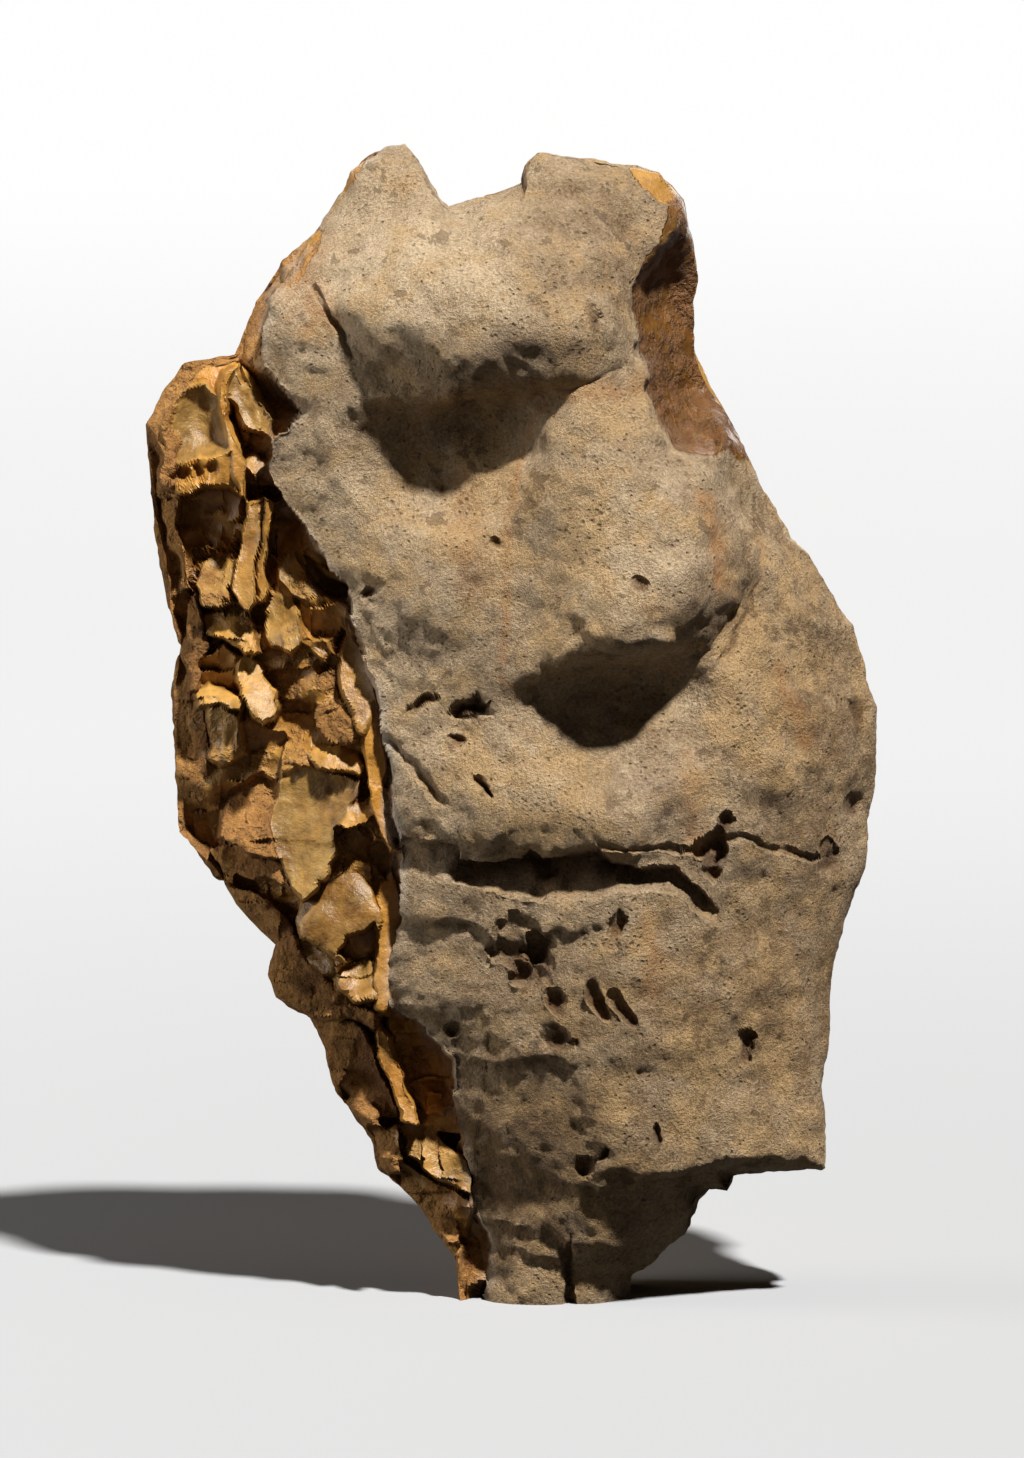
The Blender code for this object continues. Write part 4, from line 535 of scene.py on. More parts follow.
# The back, as y at five heights: z, y on the left, at the middle and on the right.
BACK_STATIONS = [
    (-4, 14, 18, 18),
    (45, 24, 31, 16),
    (110, 30, 42, 22),
    (165, 32, 42, 22),
    (205, 26, 32, 15),
    (242, 8, 9, 9),
]
BACK_FULLNESS = 2.2

# How far the back rounds over to the outline, and how far it may sink below the outline's back edge.
BACK_ROUND = 9.0
BACK_SINK = 4.0

# The back scars' outlines run on past their tabled size, up to crests this far above the face.
SCAR_SPREAD = 1.2
SCAR_CREST = 2.0

# Chips round the sides: size, depth and tilt. Only what is deeper than the spared depth is cut, and no
# more than a share of the side's thickness.
SIDE_CHIPS = [(26.0, 3.2, 0.45), (10.0, 1.4, 0.45)]
SIDE_SPARED = 1.0
SIDE_SHARE = 0.2

# Old flake scars on the back: x, z, half length, half width, turn, depth, slope along x and z.
BACK_SCARS = [
    (34, 196, 30, 18, 60, 6, 0.05, 0.1),
    (-46, 150, 34, 17, 95, 5, -0.12, 0),
    (-24, 62, 30, 20, 120, 7, -0.1, -0.12),
    (38, 62, 32, 22, 70, 6, 0.1, -0.08),
    (4, 214, 26, 14, 10, 4, 0, 0.15),
    (50, 128, 28, 14, 100, 5, 0.15, 0),
]


def lattice_value(cell_x, cell_y, cell_z, seed):
    """A repeatable number from 0 to 1 for each whole-number cell, by mixing the bits of its place."""
    mixed = (
        cell_x.astype(np.int64) * 374761393
        + cell_y.astype(np.int64) * 668265263
        + cell_z.astype(np.int64) * 1440662683
        + seed * 974634777
    ) & 0xFFFFFFFF
    mixed = ((mixed ^ (mixed >> 13)) * 1274126177) & 0xFFFFFFFF
    return (mixed ^ (mixed >> 16)) / 4294967295.0


def value_noise(points, size, seed):
    """Smooth noise from -1 to 1: lattice values a cell apart, blended by a smooth step on each axis."""
    scaled = points / size
    cell = np.floor(scaled)
    part = scaled - cell
    ease = part * part * part * (part * (part * 6 - 15) + 10)
    total = np.zeros(len(points))
    for step_x in (0, 1):
        weight_x = ease[:, 0] if step_x else 1 - ease[:, 0]
        for step_y in (0, 1):
            weight_y = ease[:, 1] if step_y else 1 - ease[:, 1]
            for step_z in (0, 1):
                weight_z = ease[:, 2] if step_z else 1 - ease[:, 2]
                value = lattice_value(cell[:, 0] + step_x, cell[:, 1] + step_y, cell[:, 2] + step_z, seed)
                total += value * weight_x * weight_y * weight_z
    return total * 2 - 1


def soft_curve(knots_z, values, z, reach):
    """A line through the knots with its corners rounded, by averaging it a little below and above."""
    low = np.interp(z - reach, knots_z, values)
    middle = np.interp(z, knots_z, values)
    high = np.interp(z + reach, knots_z, values)
    return (low + middle * 2 + high) / 4


def turned(x, z, centre_x, centre_z, turn):
    """Offsets from a centre, measured along and across a direction turned from +X."""
    angle = np.radians(turn)
    dx, dz = x - centre_x, z - centre_z
    return dx * np.cos(angle) + dz * np.sin(angle), dz * np.cos(angle) - dx * np.sin(angle)


def swell(x, z, centre_x, centre_z, left, right, down, up, steepness):
    """A mound that is 1 at its centre and 0 at its own reach on each side."""
    dx, dz = x - centre_x, z - centre_z
    reach_x = np.where(dx < 0, left, right)
    reach_z = np.where(dz < 0, down, up)
    return np.clip(1 - (dx / reach_x) ** 2 - (dz / reach_z) ** 2, 0, 1) ** steepness


def ridge(x, z):
    """The ridge's height: a rounded crest between its reaches, with a rounded end above its foot line."""
    rows = np.array(RIDGE).T
    crest_x, height, left, right = (soft_curve(rows[0], row, z, RIDGE_REACH) for row in rows[1:])
    off = (x - crest_x) / np.where(x < crest_x, left, right)
    steepness = np.where(x < crest_x, RIDGE_LEFT_STEEP, RIDGE_RIGHT_STEEP)
    foot_x, *columns = np.array(RIDGE_FOOT).T
    foot_z, roundness, bluntness = (np.interp(x, foot_x, column) for column in columns)
    above = np.clip((z - foot_z) / roundness, 0, 1)
    return height * np.clip(1 - off**2, 0, 1) ** steepness * (1 - (1 - above) ** 2) ** bluntness


def groove(x, z, steep, gentle, line):
    """The depth of a groove along a line of points: a steep wall above it and a gentle one below."""
    deepest = np.zeros(len(x))
    for (x0, z0, depth0), (x1, z1, depth1) in zip(line, line[1:]):
        run_x, run_z = x1 - x0, z1 - z0
        length = np.hypot(run_x, run_z)
        along = np.clip(((x - x0) * run_x + (z - z0) * run_z) / length**2, 0, 1)
        off_x, off_z = x - (x0 + along * run_x), z - (z0 + along * run_z)
        side = (run_x * off_z - run_z * off_x) / length
        width = np.where(side > 0, steep, gentle)
        away = np.clip(np.hypot(off_x, off_z) / width, 0, 1)
        deepest = np.maximum(deepest, (depth0 + along * (depth1 - depth0)) * (1 - away**1.5))
    return deepest


def ledge(x, z, width, line):
    """0 above a line drawn from left to right, climbing to 1 a width below it; it fades past both ends."""
    line = np.array(line)
    below = np.clip((np.interp(x, line[:, 0], line[:, 1]) - z) / width, 0, 1)
    past = np.maximum(line[0, 0] - x, x - line[-1, 0])
    return below * below * (3 - 2 * below) * np.clip(1 - past / (3 * width), 0, 1)


def cleft(x, z, columns):
    """A cleft's depth: a steep wall down from its upper edge, and a floor that climbs to its lower one."""
    column_x, upper, lower, depth = np.array(columns).T
    top = np.interp(x, column_x, upper)
    share = (top - z) / (top - np.interp(x, column_x, lower))
    wall = np.clip(share / CLEFT_WALL, 0, 1)
    floor = (1 - np.clip(share, 0, 1)) ** CLEFT_CLIMB
    return np.interp(x, column_x, depth, 0, 0) * wall * wall * (3 - 2 * wall) * floor


def inside_distance(x, z, corners):
    """How far inside a polygon each place lies; negative outside it."""
    nearest = np.full(len(x), np.inf)
    inside = np.zeros(len(x), dtype=bool)
    for (x0, z0), (x1, z1) in zip(corners, corners[1:] + corners[:1]):
        run_x, run_z = x1 - x0, z1 - z0
        along = np.clip(((x - x0) * run_x + (z - z0) * run_z) / (run_x**2 + run_z**2), 0, 1)
        nearest = np.minimum(nearest, np.hypot(x - x0 - along * run_x, z - z0 - along * run_z))
        if z0 != z1:
            inside ^= ((z0 > z) != (z1 > z)) & (x < x0 + (z - z0) * run_x / run_z)
    return np.where(inside, nearest, -nearest)


def chips(x, z, size, depth, tilt, seed):
    """Chipped stone: one shallow bowl per lattice cell, each tipped its own way, the lowest one showing."""
    cell_x, cell_z = np.floor(x / size), np.floor(z / size)
    layer = np.zeros(len(x))
    floor = np.full(len(x), depth * CHIP_EDGE)
    for step_x in (-1, 0, 1):
        for step_z in (-1, 0, 1):
            own_x, own_z = cell_x + step_x, cell_z + step_z
            draw = [lattice_value(own_x, layer, own_z, seed + i) for i in range(5)]
            dx, dz = x - (own_x + draw[0]) * size, z - (own_z + draw[1]) * size
            bowl = depth * ((dx**2 + dz**2) / (size * CHIP_REACH) ** 2 + CHIP_LEVEL - draw[2])
            bowl += tilt * (dx * (draw[3] * 2 - 1) + dz * (draw[4] * 2 - 1))
            floor = np.minimum(floor, bowl)
    return floor


def scar_floor(x, z, scars):
    """How far the flake scars cut in: each is a shallow bowl, and crests stand where two bowls meet."""
    floor = np.full(len(x), SCAR_CREST)
    for centre_x, centre_z, half_long, half_wide, turn, depth, slope_x, slope_z in scars:
        along, across = turned(x, z, centre_x, centre_z, turn)
        bowl = depth * (((along / half_long) ** 2 + (across / half_wide) ** 2) / SCAR_SPREAD**2 - 1)
        bowl += slope_x * (x - centre_x) + slope_z * (z - centre_z)
        floor = np.minimum(floor, bowl)
    return floor


def outline_columns():
    """The outline's table by columns: x, z, front corner's y, thickness, rounding."""
    return np.array(OUTLINE).T


def border_x(z):
    """Where the rind ends at each height."""
    line = np.array(BORDER)
    return np.interp(z, line[:, 1], line[:, 0])


def soft_border_x(z):
    """The same border with its wiggles smoothed away."""
    line = np.array(BORDER)
    return soft_curve(line[:, 1], line[:, 0], z, BORDER_REACH)


def left_edge_x(z):
    """The outline's left side at each height."""
    edge = np.array(OUTLINE[: OUTLINE_TOP_LEFT])
    return np.interp(z, edge[:, 1], edge[:, 0])


def right_edge_x(z):
    """The outline's right side at each height."""
    edge = np.array(OUTLINE[OUTLINE_TOP_RIGHT:])[::-1]
    return np.interp(z, edge[:, 1], edge[:, 0])


def rind_out(x, z):
    """The rind: a broad vault between its two edges, with landforms, bites, grooves and pits on it."""
    stations = np.array(STATIONS).T
    curves = (soft_curve(stations[0], row, z, STATION_REACH) for row in stations[1:])
    crest_x, crest, at_border, at_right = curves
    left = np.clip((crest_x - x) / np.maximum(crest_x - soft_border_x(z), NARROW), 0, LEFT_LIMIT)
    right = np.clip((x - crest_x) / np.maximum(right_edge_x(z) - crest_x, NARROW), 0, RIGHT_LIMIT)
    out = crest - (crest - at_border) * left**LEFT_FALL - (crest - at_right) * right**RIGHT_FALL
    for _, cx, cz, reach_left, reach_right, down, up, height, steepness in SWELLS:
        out += height * swell(x, z, cx, cz, reach_left, reach_right, down, up, steepness)
    out += ridge(x, z)
    for cx, cz, half_wide, half_high, turn, floor, rise in BITES:
        across, up = turned(x, z, cx, cz, turn)
        out = np.minimum(out, floor + rise * ((across / half_wide) ** 2 + (up / half_high) ** 2) ** 2)
    for drop, width, line in LEDGES:
        out -= drop * ledge(x, z, width, line)
    for columns in CLEFTS:
        out -= cleft(x, z, columns)
    for steep, gentle, line in GROOVES:
        out -= groove(x, z, steep, gentle, line)
    ragged = value_noise(np.stack([x, 0 * x, z], axis=1), PIT_RAGGED_SIZE, SEED + 50)
    for cx, cz, half_wide, half_high, turn, depth in PITS:
        across, up = turned(x, z, cx, cz, turn)
        away = np.sqrt((across / half_wide) ** 2 + (up / half_high) ** 2) + PIT_RAGGED * ragged
        out -= depth * np.clip(PIT_REACH - away**2, 0, 1) ** np.where(up > 0, PIT_UPPER_WALL, PIT_LOWER_WALL)
    return out


def warped(x, z):
    """The place a little way off, by smooth noise, from which a ragged feature is read."""
    place = np.stack([x, np.zeros(len(x)), z], axis=1)
    for i, (size, reach) in enumerate(WARPS):
        x = x + reach * value_noise(place, size, SEED + 20 + i)
        z = z + reach * value_noise(place, size, SEED + 30 + i)
    return x, z


def flint_face(x, z, rind):
    """The broken face before its flakes: it drops by the rim's step, then falls ever more to the edge."""
    beyond = border_x(z) - x
    span = np.maximum(border_x(z) - left_edge_x(z), 1.0)
    step = np.clip(beyond / RIM_STEP_WIDTH, 0, 1)
    step = step * step * (3 - 2 * step) * np.clip(span / FULL_STEP_SPAN, 0, 1)
    columns = outline_columns()
    edge = FLANK_LIFT - np.interp(z, columns[1][:OUTLINE_TOP_LEFT], columns[2][:OUTLINE_TOP_LEFT])
    fall = edge - rind + RIM_STEP
    return rind - RIM_STEP * step + fall * np.clip(beyond / span, 0, 1) ** FLANK_CURVE


def flaked(x, z, out, small_chips):
    """The flint face with its flakes laid over it in turn: each a tipped plane with a dish in it."""
    for name, offset, slope_x, slope_z, dish, corners in FLAKES:
        middle = np.mean(corners, axis=0)[:, None]
        level = flint_face(*middle, rind_out(*middle)) + offset
        inside = inside_distance(x, z, corners)
        reach = inside.max() + 0.1
        deeper = 1 - (1 - np.clip(inside / reach, 0, 1)) ** 2
        facet = level + slope_x * (x - middle[0]) + slope_z * (z - middle[1]) - dish * deeper
        facet += small_chips * (GLASSY_CHIPS if name in GLASSY else DULL_CHIPS)
        share = np.clip(inside / FLAKE_EDGE + 0.5, 0, 1)
        out = out + (facet - out) * share
    return out


def front_out(x, z):
    """The whole front: the rind, and left of its border the flaked flint that slants back to the edge."""
    x, z = warped(x, z)
    rind = rind_out(x, z)
    flint = flint_face(x, z, rind)
    large, *small = [chips(x, z, *row, SEED + 40 + 10 * step) for step, row in enumerate(CHIPS)]
    flint = flaked(x, z, flint + large + sum(small), sum(small))
    return np.where(border_x(z) > x, flint, rind)


def back_y(x, z):
    """The back: a low vault from left to right at each height, cut by a few wide old scars."""
    stations = np.array(BACK_STATIONS).T
    at_left, at_middle, at_right = (soft_curve(stations[0], row, z, BACK_REACH) for row in stations[1:])
    left_x, right_x = left_edge_x(z), right_edge_x(z)
    share = np.clip((x - left_x) / np.maximum(right_x - left_x, 2 * NARROW), 0, 1)
    y = at_left * (1 - share) ** 2 + BACK_FULLNESS * at_middle * share * (1 - share) + at_right * share**2
    x, z = warped(x, z)
    return y + np.minimum(scar_floor(x, z, BACK_SCARS), 0)


def ring_share(inward):
    """How far a ring lies from the centre, 0 to 1, with rings packed closely where the edge rounds."""
    packed = np.where(inward < RIM_SHARE, inward**2 / RIM_SHARE, 2 * inward - RIM_SHARE)
    return 1 - packed / (2 - RIM_SHARE)


def walk_outline(count):
    """The outline counter-clockwise from its lower left, as count evenly spaced rows of its columns."""
    rows = np.array(OUTLINE)[::-1]
    closed = np.vstack([rows, rows[:1]])
    steps = np.hypot(*np.diff(closed[:, :2], axis=0).T)
    length = np.concatenate([[0], np.cumsum(steps)])
    places = (np.arange(count) / count * length[-1] + length[-1] - OUTLINE_START) % length[-1]
    return np.stack([np.interp(places, length, closed[:, i]) for i in range(closed.shape[1])])


def sheet_grid():
    """The square grid folded onto the outline: each node's ring share and its place on the outline."""
    half = GRID // 2
    a, b = np.meshgrid(np.arange(-half, half + 1), np.arange(-half, half + 1), indexing="ij")
    ring = np.maximum(abs(a), abs(b))
    safe = np.maximum(ring, 1)
    u, v = a / safe, b / safe
    bottom, right, top = (v == -1) & (u < 1), (u == 1) & (v < 1), (v == 1) & (u > -1)
    place = np.select([bottom, right, top], [(u + 1) / 8, (v + 1) / 8 + 0.25, (1 - u) / 8 + 0.5],
                      (1 - v) / 8 + 0.75)
    return ring_share(1 - ring / half).reshape(-1), place.reshape(-1) % 1.0


def walk_rim(place):
    """The outline's columns at each share of the way round it."""
    count = 16 * GRID
    rim = walk_outline(count)
    low = np.floor(place * count).astype(int) % count
    part = place * count - np.floor(place * count)
    return rim[:, low] * (1 - part) + rim[:, (low + 1) % count] * part


def grid_index():
    """The numbers of the grid's nodes, row by row."""
    return np.arange((GRID + 1) ** 2).reshape(GRID + 1, GRID + 1)


def rim_ring():
    """The grid's outermost nodes, once round counter-clockwise."""
    index = grid_index()
    return np.concatenate([index[:-1, 0], index[-1, :-1], index[:0:-1, -1], index[0, :0:-1]])


def cut_side(points, thick, t):
    """A ring of the side band moved in by its chips: not at all at its two rims, most halfway."""
    ahead, behind = np.roll(points, -1, axis=0), np.roll(points, 1, axis=0)
    run_x, run_z = ahead[:, 0] - behind[:, 0], ahead[:, 2] - behind[:, 2]
    length = np.maximum(np.hypot(run_x, run_z), 1e-6)
    along = np.cumsum(length) / 2
    depth = sum(
        row[1] - chips(along, points[:, 1], *row, SEED + 90 + step) for step, row in enumerate(SIDE_CHIPS)
    )
    depth = np.clip(depth - SIDE_SPARED, 0, SIDE_SHARE * thick) * np.sin(np.pi * t)
    return points + np.stack([-run_z, 0 * depth, run_x], axis=1) * (depth / length)[:, None]


def stone_surface():
    """All the points of the stone and its faces: the front sheet, the back sheet and the band between."""
    share, place = sheet_grid()
    rim_x, rim_z, rim_y, rim_thick, rim_round = walk_rim(place)
    x = CENTRE[0] + share * (rim_x - CENTRE[0])
    z = CENTRE[1] + share * (rim_z - CENTRE[1])
    inward = (1 - share) * np.hypot(rim_x - CENTRE[0], rim_z - CENTRE[1])

    curve = np.sqrt(1 - (1 - np.clip(inward / rim_round, 0, 1)) ** 2)
    front = np.stack([x, rim_y + (-front_out(x, z) - rim_y) * curve, z], axis=1)
    for cx, cz, side, down, up, sag in SAGS:
        front[:, 2] -= sag * swell(x, z, cx, cz, side, side, down, up, SAG_STEEPNESS)
    curve = np.sqrt(1 - (1 - np.clip(inward / BACK_ROUND, 0, 1)) ** 2)
    back_edge = rim_y + rim_thick
    behind = np.maximum(back_y(x, z), back_edge - BACK_SINK)
    back = np.stack([x, back_edge + (behind - back_edge) * curve, z], axis=1)

    tip = np.radians(VIEW_TIP)
    for sheet in (front, back):
        nearness = 1 + sheet[:, 1] / VIEW_DISTANCE
        sheet[:, 0] *= nearness
        sheet[:, 2] = VIEW_HEIGHT + (sheet[:, 2] - VIEW_HEIGHT) * nearness
        sheet[:, 2] = (sheet[:, 2] - (sheet[:, 1] + FOOT_FRONT) * np.sin(tip)) / np.cos(tip)

    index, ring, size = grid_index(), rim_ring(), len(front)
    quads = np.stack([index[:-1, :-1], index[1:, :-1], index[1:, 1:], index[:-1, 1:]], axis=-1)
    quads = quads.reshape(-1, 4)
    rows = [ring]
    band = []
    for row in range(1, BAND_ROWS):
        t = row / BAND_ROWS
        band.append(cut_side(front[ring] * (1 - t) + back[ring] * t, rim_thick[ring], t))
        rows.append(2 * size + (row - 1) * len(ring) + np.arange(len(ring)))
    rows.append(ring + size)
    faces = [quads, quads[:, ::-1] + size]
    for near, far in zip(rows, rows[1:]):
        faces.append(np.stack([near, far, np.roll(far, -1), np.roll(near, -1)], axis=1))
    return np.vstack([front, back] + band), np.vstack(faces)


def corner_normals(points, faces):
    """The outward direction at each point, from the sum of its faces' normals."""
    corners = points[faces]
    normal = np.cross(corners[:, 2] - corners[:, 0], corners[:, 3] - corners[:, 1])
    total = np.zeros_like(points)
    for corner in range(4):
        for axis in range(3):
            total[:, axis] += np.bincount(faces[:, corner], normal[:, axis], len(points))
    return total / np.maximum(np.linalg.norm(total, axis=1, keepdims=True), 1e-9)


# Lumps of the skin, in and out along its normals: size of a lump, its height on rind and on flint.
LUMPS = [(17.0, 0.9, 0.6), (8.0, 0.3, 0.3), (4.2, 0.28, 0.12), (2.3, 0.24, 0.08), (1.3, 0.18, 0.04)]

# Tone of the skin, partly its own and partly painted light: the paler forehead, cheek and knob top are
# painted light, the darker band under the brow, the chin and the foot are painted shade, and the darker knob
# ball is partly painted shade. x, z, reach sideways, reach up and down, paler (+) or darker (-).
TONE_AND_PAINTED_LIGHT = [
    (-20, 215, 34, 22, 0.8),
    (-40, 205, 16, 14, 0.5),
    (-5, 196, 34, 9, -0.45),
    (22, 220, 26, 20, -0.4),
    (-22, 150, 24, 34, 0.35),
    (26, 156, 18, 16, 0.6),
    (38.5, 147, 10, 10, -0.8),
    (62, 140, 24, 40, -0.5),
    (64, 80, 24, 60, -0.6),
    (20, 60, 50, 30, -0.5),
    (0, 24, 34, 30, -1),
    (30, 30, 30, 20, -0.3),
    (45, 60, 24, 40, -0.1),
    (52, 70, 10, 40, 0.15),
]

# Purple-grey bruises in the rind, and along the brow's underside a band of painted shade: x, z, reach
# sideways, reach up and down, strength.
BRUISES_AND_PAINTED_SHADE = [
    (35, 167, 4.5, 3.5, 1),
    (-21, 146, 9, 9, 0.6),
    (-14, 154, 8, 6, 0.5),
    (30, 105, 12, 14, 0.8),
    (38.5, 148, 9.5, 10, 1),
    (22, 220, 20, 14, 0.5),
    (-2, 199, 26, 8, 0.6),
    (58, 88, 12, 20, 0.4),
]

# Yellower rind: x, z, reach sideways, reach up and down, strength.
OCHRES = [
    (-5, 164, 14, 20, 0.9),
    (15, 150, 11, 18, 0.8),
    (2, 104, 22, 14, 1),
    (52, 130, 12, 22, 0.7),
    (43, 50, 18, 24, 0.5),
    (-29, 154, 10, 16, 0.6),
    (-40, 208, 10, 14, 0.7),
    (8, 188, 20, 8, 0.7),
    (20, 176, 12, 14, 0.3),
]

# Iron stains: the line's half width and strength, then x and z along it.
STAINS = [
    (1.1, 1, [(7, 186), (2, 179), (0.5, 170), (-1, 163), (-1.5, 146), (-2.5, 132), (1, 129)]),
    (3.5, 0.7, [(12, 189), (22, 189.5), (32, 192)]),
    (2.6, 1, [(40, 166), (43, 160), (44, 152)]),
    (3.5, 0.7, [(29, 79), (31, 72), (30, 66)]),
    (3, 0.7, [(36, 113), (37, 104), (38, 96)]),
    (2.2, 0.8, [(56, 134), (59, 124), (61, 116)]),
    (7, 0.8, [(-42, 221), (-45, 212), (-41, 205)]),
    (5, 0.5, [(-8, 150), (-12, 170)]),
]

# How each flake is finished: its paleness, how amber rather than olive it is, and how crusted rather than
# glassy, each from 0 to 1. The low paleness of the pockets, slots, hollows, the cavity, the notch and the
# place under the fan is painted shade.
FLAKE_COLOUR_AND_SHADE = {
    "bowl rim": (0.5, 0.95, 0), "bowl": (0.48, 0.05, 0), "bowl lip": (0.55, 0.85, 0),
    "lip scallop 1": (0.7, 0.8, 0), "lip scallop 2": (0.7, 0.8, 0), "lip scallop 3": (0.7, 0.8, 0),
    "cavity wall": (0.2, 0.5, 0.3), "cavity": (0.15, 0.6, 0), "rib": (0.6, 0.8, 0),
    "fan blade 1": (0.55, 0.15, 0), "fan blade 2": (0.55, 0.2, 0), "under the fan": (0.1, 0.5, 0),
    "fan pebble": (0.6, 0.3, 0), "long blade, left face": (0.45, 0.4, 0),
    "long blade, right face": (0.5, 0.6, 0), "deep hollow": (0.05, 0.5, 0),
    "ridged flake, top": (0.45, 0.1, 0.4), "ridged flake, foot": (0.45, 0.6, 0),
    "middle flake": (0.72, 0.2, 0.2), "left point": (0.65, 0.25, 0.4), "left shelf": (0.8, 0.45, 0.3),
    "left pocket": (0.45, 0.5, 0.2), "tall facet": (0.8, 0.25, 0), "tall facet pocket": (0.15, 0.7, 0.2),
    "pale shelf": (0.9, 0.35, 0), "plate under the shelf": (0.7, 0.35, 0.3), "left slot": (0.1, 0.5, 0.6),
    "crust post": (0.4, 0.6, 1), "olive pocket": (0.2, 0.3, 0), "olive sliver": (0.75, 0.45, 0),
    "right plate": (0.5, 0.45, 0), "rough patch": (0.6, 0.9, 1), "middle shelf": (0.7, 0.5, 0.2),
    "smooth plate": (0.42, 0.1, 0), "rusty shelf": (0.6, 0.9, 1), "rusty ledge": (0.5, 0.7, 1),
    "ledge pocket": (0.05, 0.5, 1), "tan chip": (0.65, 0.5, 0.1), "tan crumbs": (0.9, 0.5, 0.7),
    "chip pocket": (0.1, 0.5, 0.3), "lower pocket": (0.1, 0.5, 0.2), "honey strip": (0.75, 1, 0),
    "round flake": (0.12, 0.2, 0), "flake notch": (0.1, 0.3, 0), "low flake, right": (0.12, 0.3, 0),
    "low flake, left": (0.05, 0.3, 0), "honey blade": (0.55, 0.9, 0), "rusty band": (0.22, 0.4, 1),
    "low hollow": (0.12, 0.9, 0.3), "hollow floor": (0.4, 1, 0.2), "orange blade": (0.42, 0.85, 0),
    "rusty hollow": (0.08, 0.8, 1), "pink sliver": (0.6, 0.4, 0.3), "pink chip": (0.3, 0.8, 0.3),
    "pale chip": (0.4, 0.3, 0.3), "amber chip": (0.28, 0.8, 0.2), "foot chip": (0.3, 0.4, 0.3),
}
PLAIN_FLINT = (0.50, 0.60, 0.40)
EDGE_CRUST = (0.70, 0.55, 0.8)
EDGE_CRUST_WIDTH = 6.0
EDGE_CRUST_FADE = 2.0

# The flakes' paleness is drawn in towards a middle tone by this share.
FLAKE_TONE = 0.42
FLAKE_EVENNESS = 0.35

# The broken flint on the back ends at a line that wanders: its x, how far it wanders, and over what
# length.
BACK_FLINT_X = 16.0
BACK_WANDER = 16.0
BACK_WANDER_LENGTH = 38.0

# Windows of bare flint in the crust of the sides and back: the sizes of their noise, the level they start
# at, and how bare they are.
WINDOW_SIZE = 19.0
WINDOW_DETAIL = WINDOW_SIZE / 2.6
WINDOW_LEVEL = 0.18
WINDOW_BARE = 0.85

# Changes of tone and of amber on the sides and back: size and strength.
REAR_TONE = (26.0, 0.30)
REAR_AMBER = (13.0, 0.40)

MASK_NAMES = [
    "flint", "crust", "amber", "stain", "bruise_and_shade", "ochre", "tone", "hollow", "section", "crest", "cavity",
]

# A bite shows old flint inside this share of its outline, with this crust, amber and tone; its darker tone
# is partly painted shade.
BITE_SHARE = 0.86
BITE_LOOK = (0.45, 0.15, -0.35)

# A cleft and a groove get their darkest painted shade where they are this deep.
CLEFT_DARKEST = 6.0
GROOVE_DARKEST = 5.0

# The back's scars show bare flint from this depth on: the share gained with each millimetre, and the start.
SCAR_GAIN = 0.35
SCAR_START = 0.3

# How fast a crest or a hollow of the surface gains in its mask, for each millimetre. The crest mask carries
# a painted highlight and the cavity mask a painted shade.
BEND_GAIN = 8

# Patches where flint shows at the rind's edge: x, z, half width, half height, turn, then its paleness,
# amber and crust.
FLINT_PATCHES = [
    (32, 230.5, 9, 3.5, -38, 0.35, 0.55, 0.3),
    (37, 222, 3, 8, -10, 0.3, 0.6, 0.3),
    (-33.5, 235, 3.5, 8, -30, 0.55, 0.85, 0.3),
    (-45, 217, 3, 8, -38, 0.75, 0.7, 0.5),
]

# The pale cut of the rind along its border: where its middle lies on the flint's side, and its reach.
SECTION_MIDDLE = 0.2
SECTION_CLEAREST = [(-25.0, 107.0, 20.0, 26.0)]
SECTION_ELSEWHERE = 0.4
SECTION_REACH = 2.3


def spread(x, z, patches):
    """The sum of soft round patches, each its strength at its middle and 0 at its reach."""
    total = np.zeros(len(x))
    for centre_x, centre_z, reach_x, reach_z, *strength in patches:
        near = np.clip(1 - ((x - centre_x) / reach_x) ** 2 - ((z - centre_z) / reach_z) ** 2, 0, 1)
        total += near * (strength[0] if strength else 1.0)
    return total


def flint_colour_and_shade(x, z):
    """The paleness, amber and crust of the flint face, with each flake's own laid on in turn; the low
    paleness of pockets and hollows is painted shade.
    """
    rows = np.repeat(np.array(PLAIN_FLINT)[:, None], len(x), axis=1)
    for name, *_, corners in FLAKES:
        share = np.clip(inside_distance(x, z, corners) / FLAKE_EDGE + 0.5, 0, 1)
        rows += (np.array(FLAKE_COLOUR_AND_SHADE[name])[:, None] - rows) * share
    near_edge = np.clip((left_edge_x(z) + EDGE_CRUST_WIDTH - x) / EDGE_CRUST_FADE, 0, 1)
    return rows + (np.array(EDGE_CRUST)[:, None] - rows) * near_edge


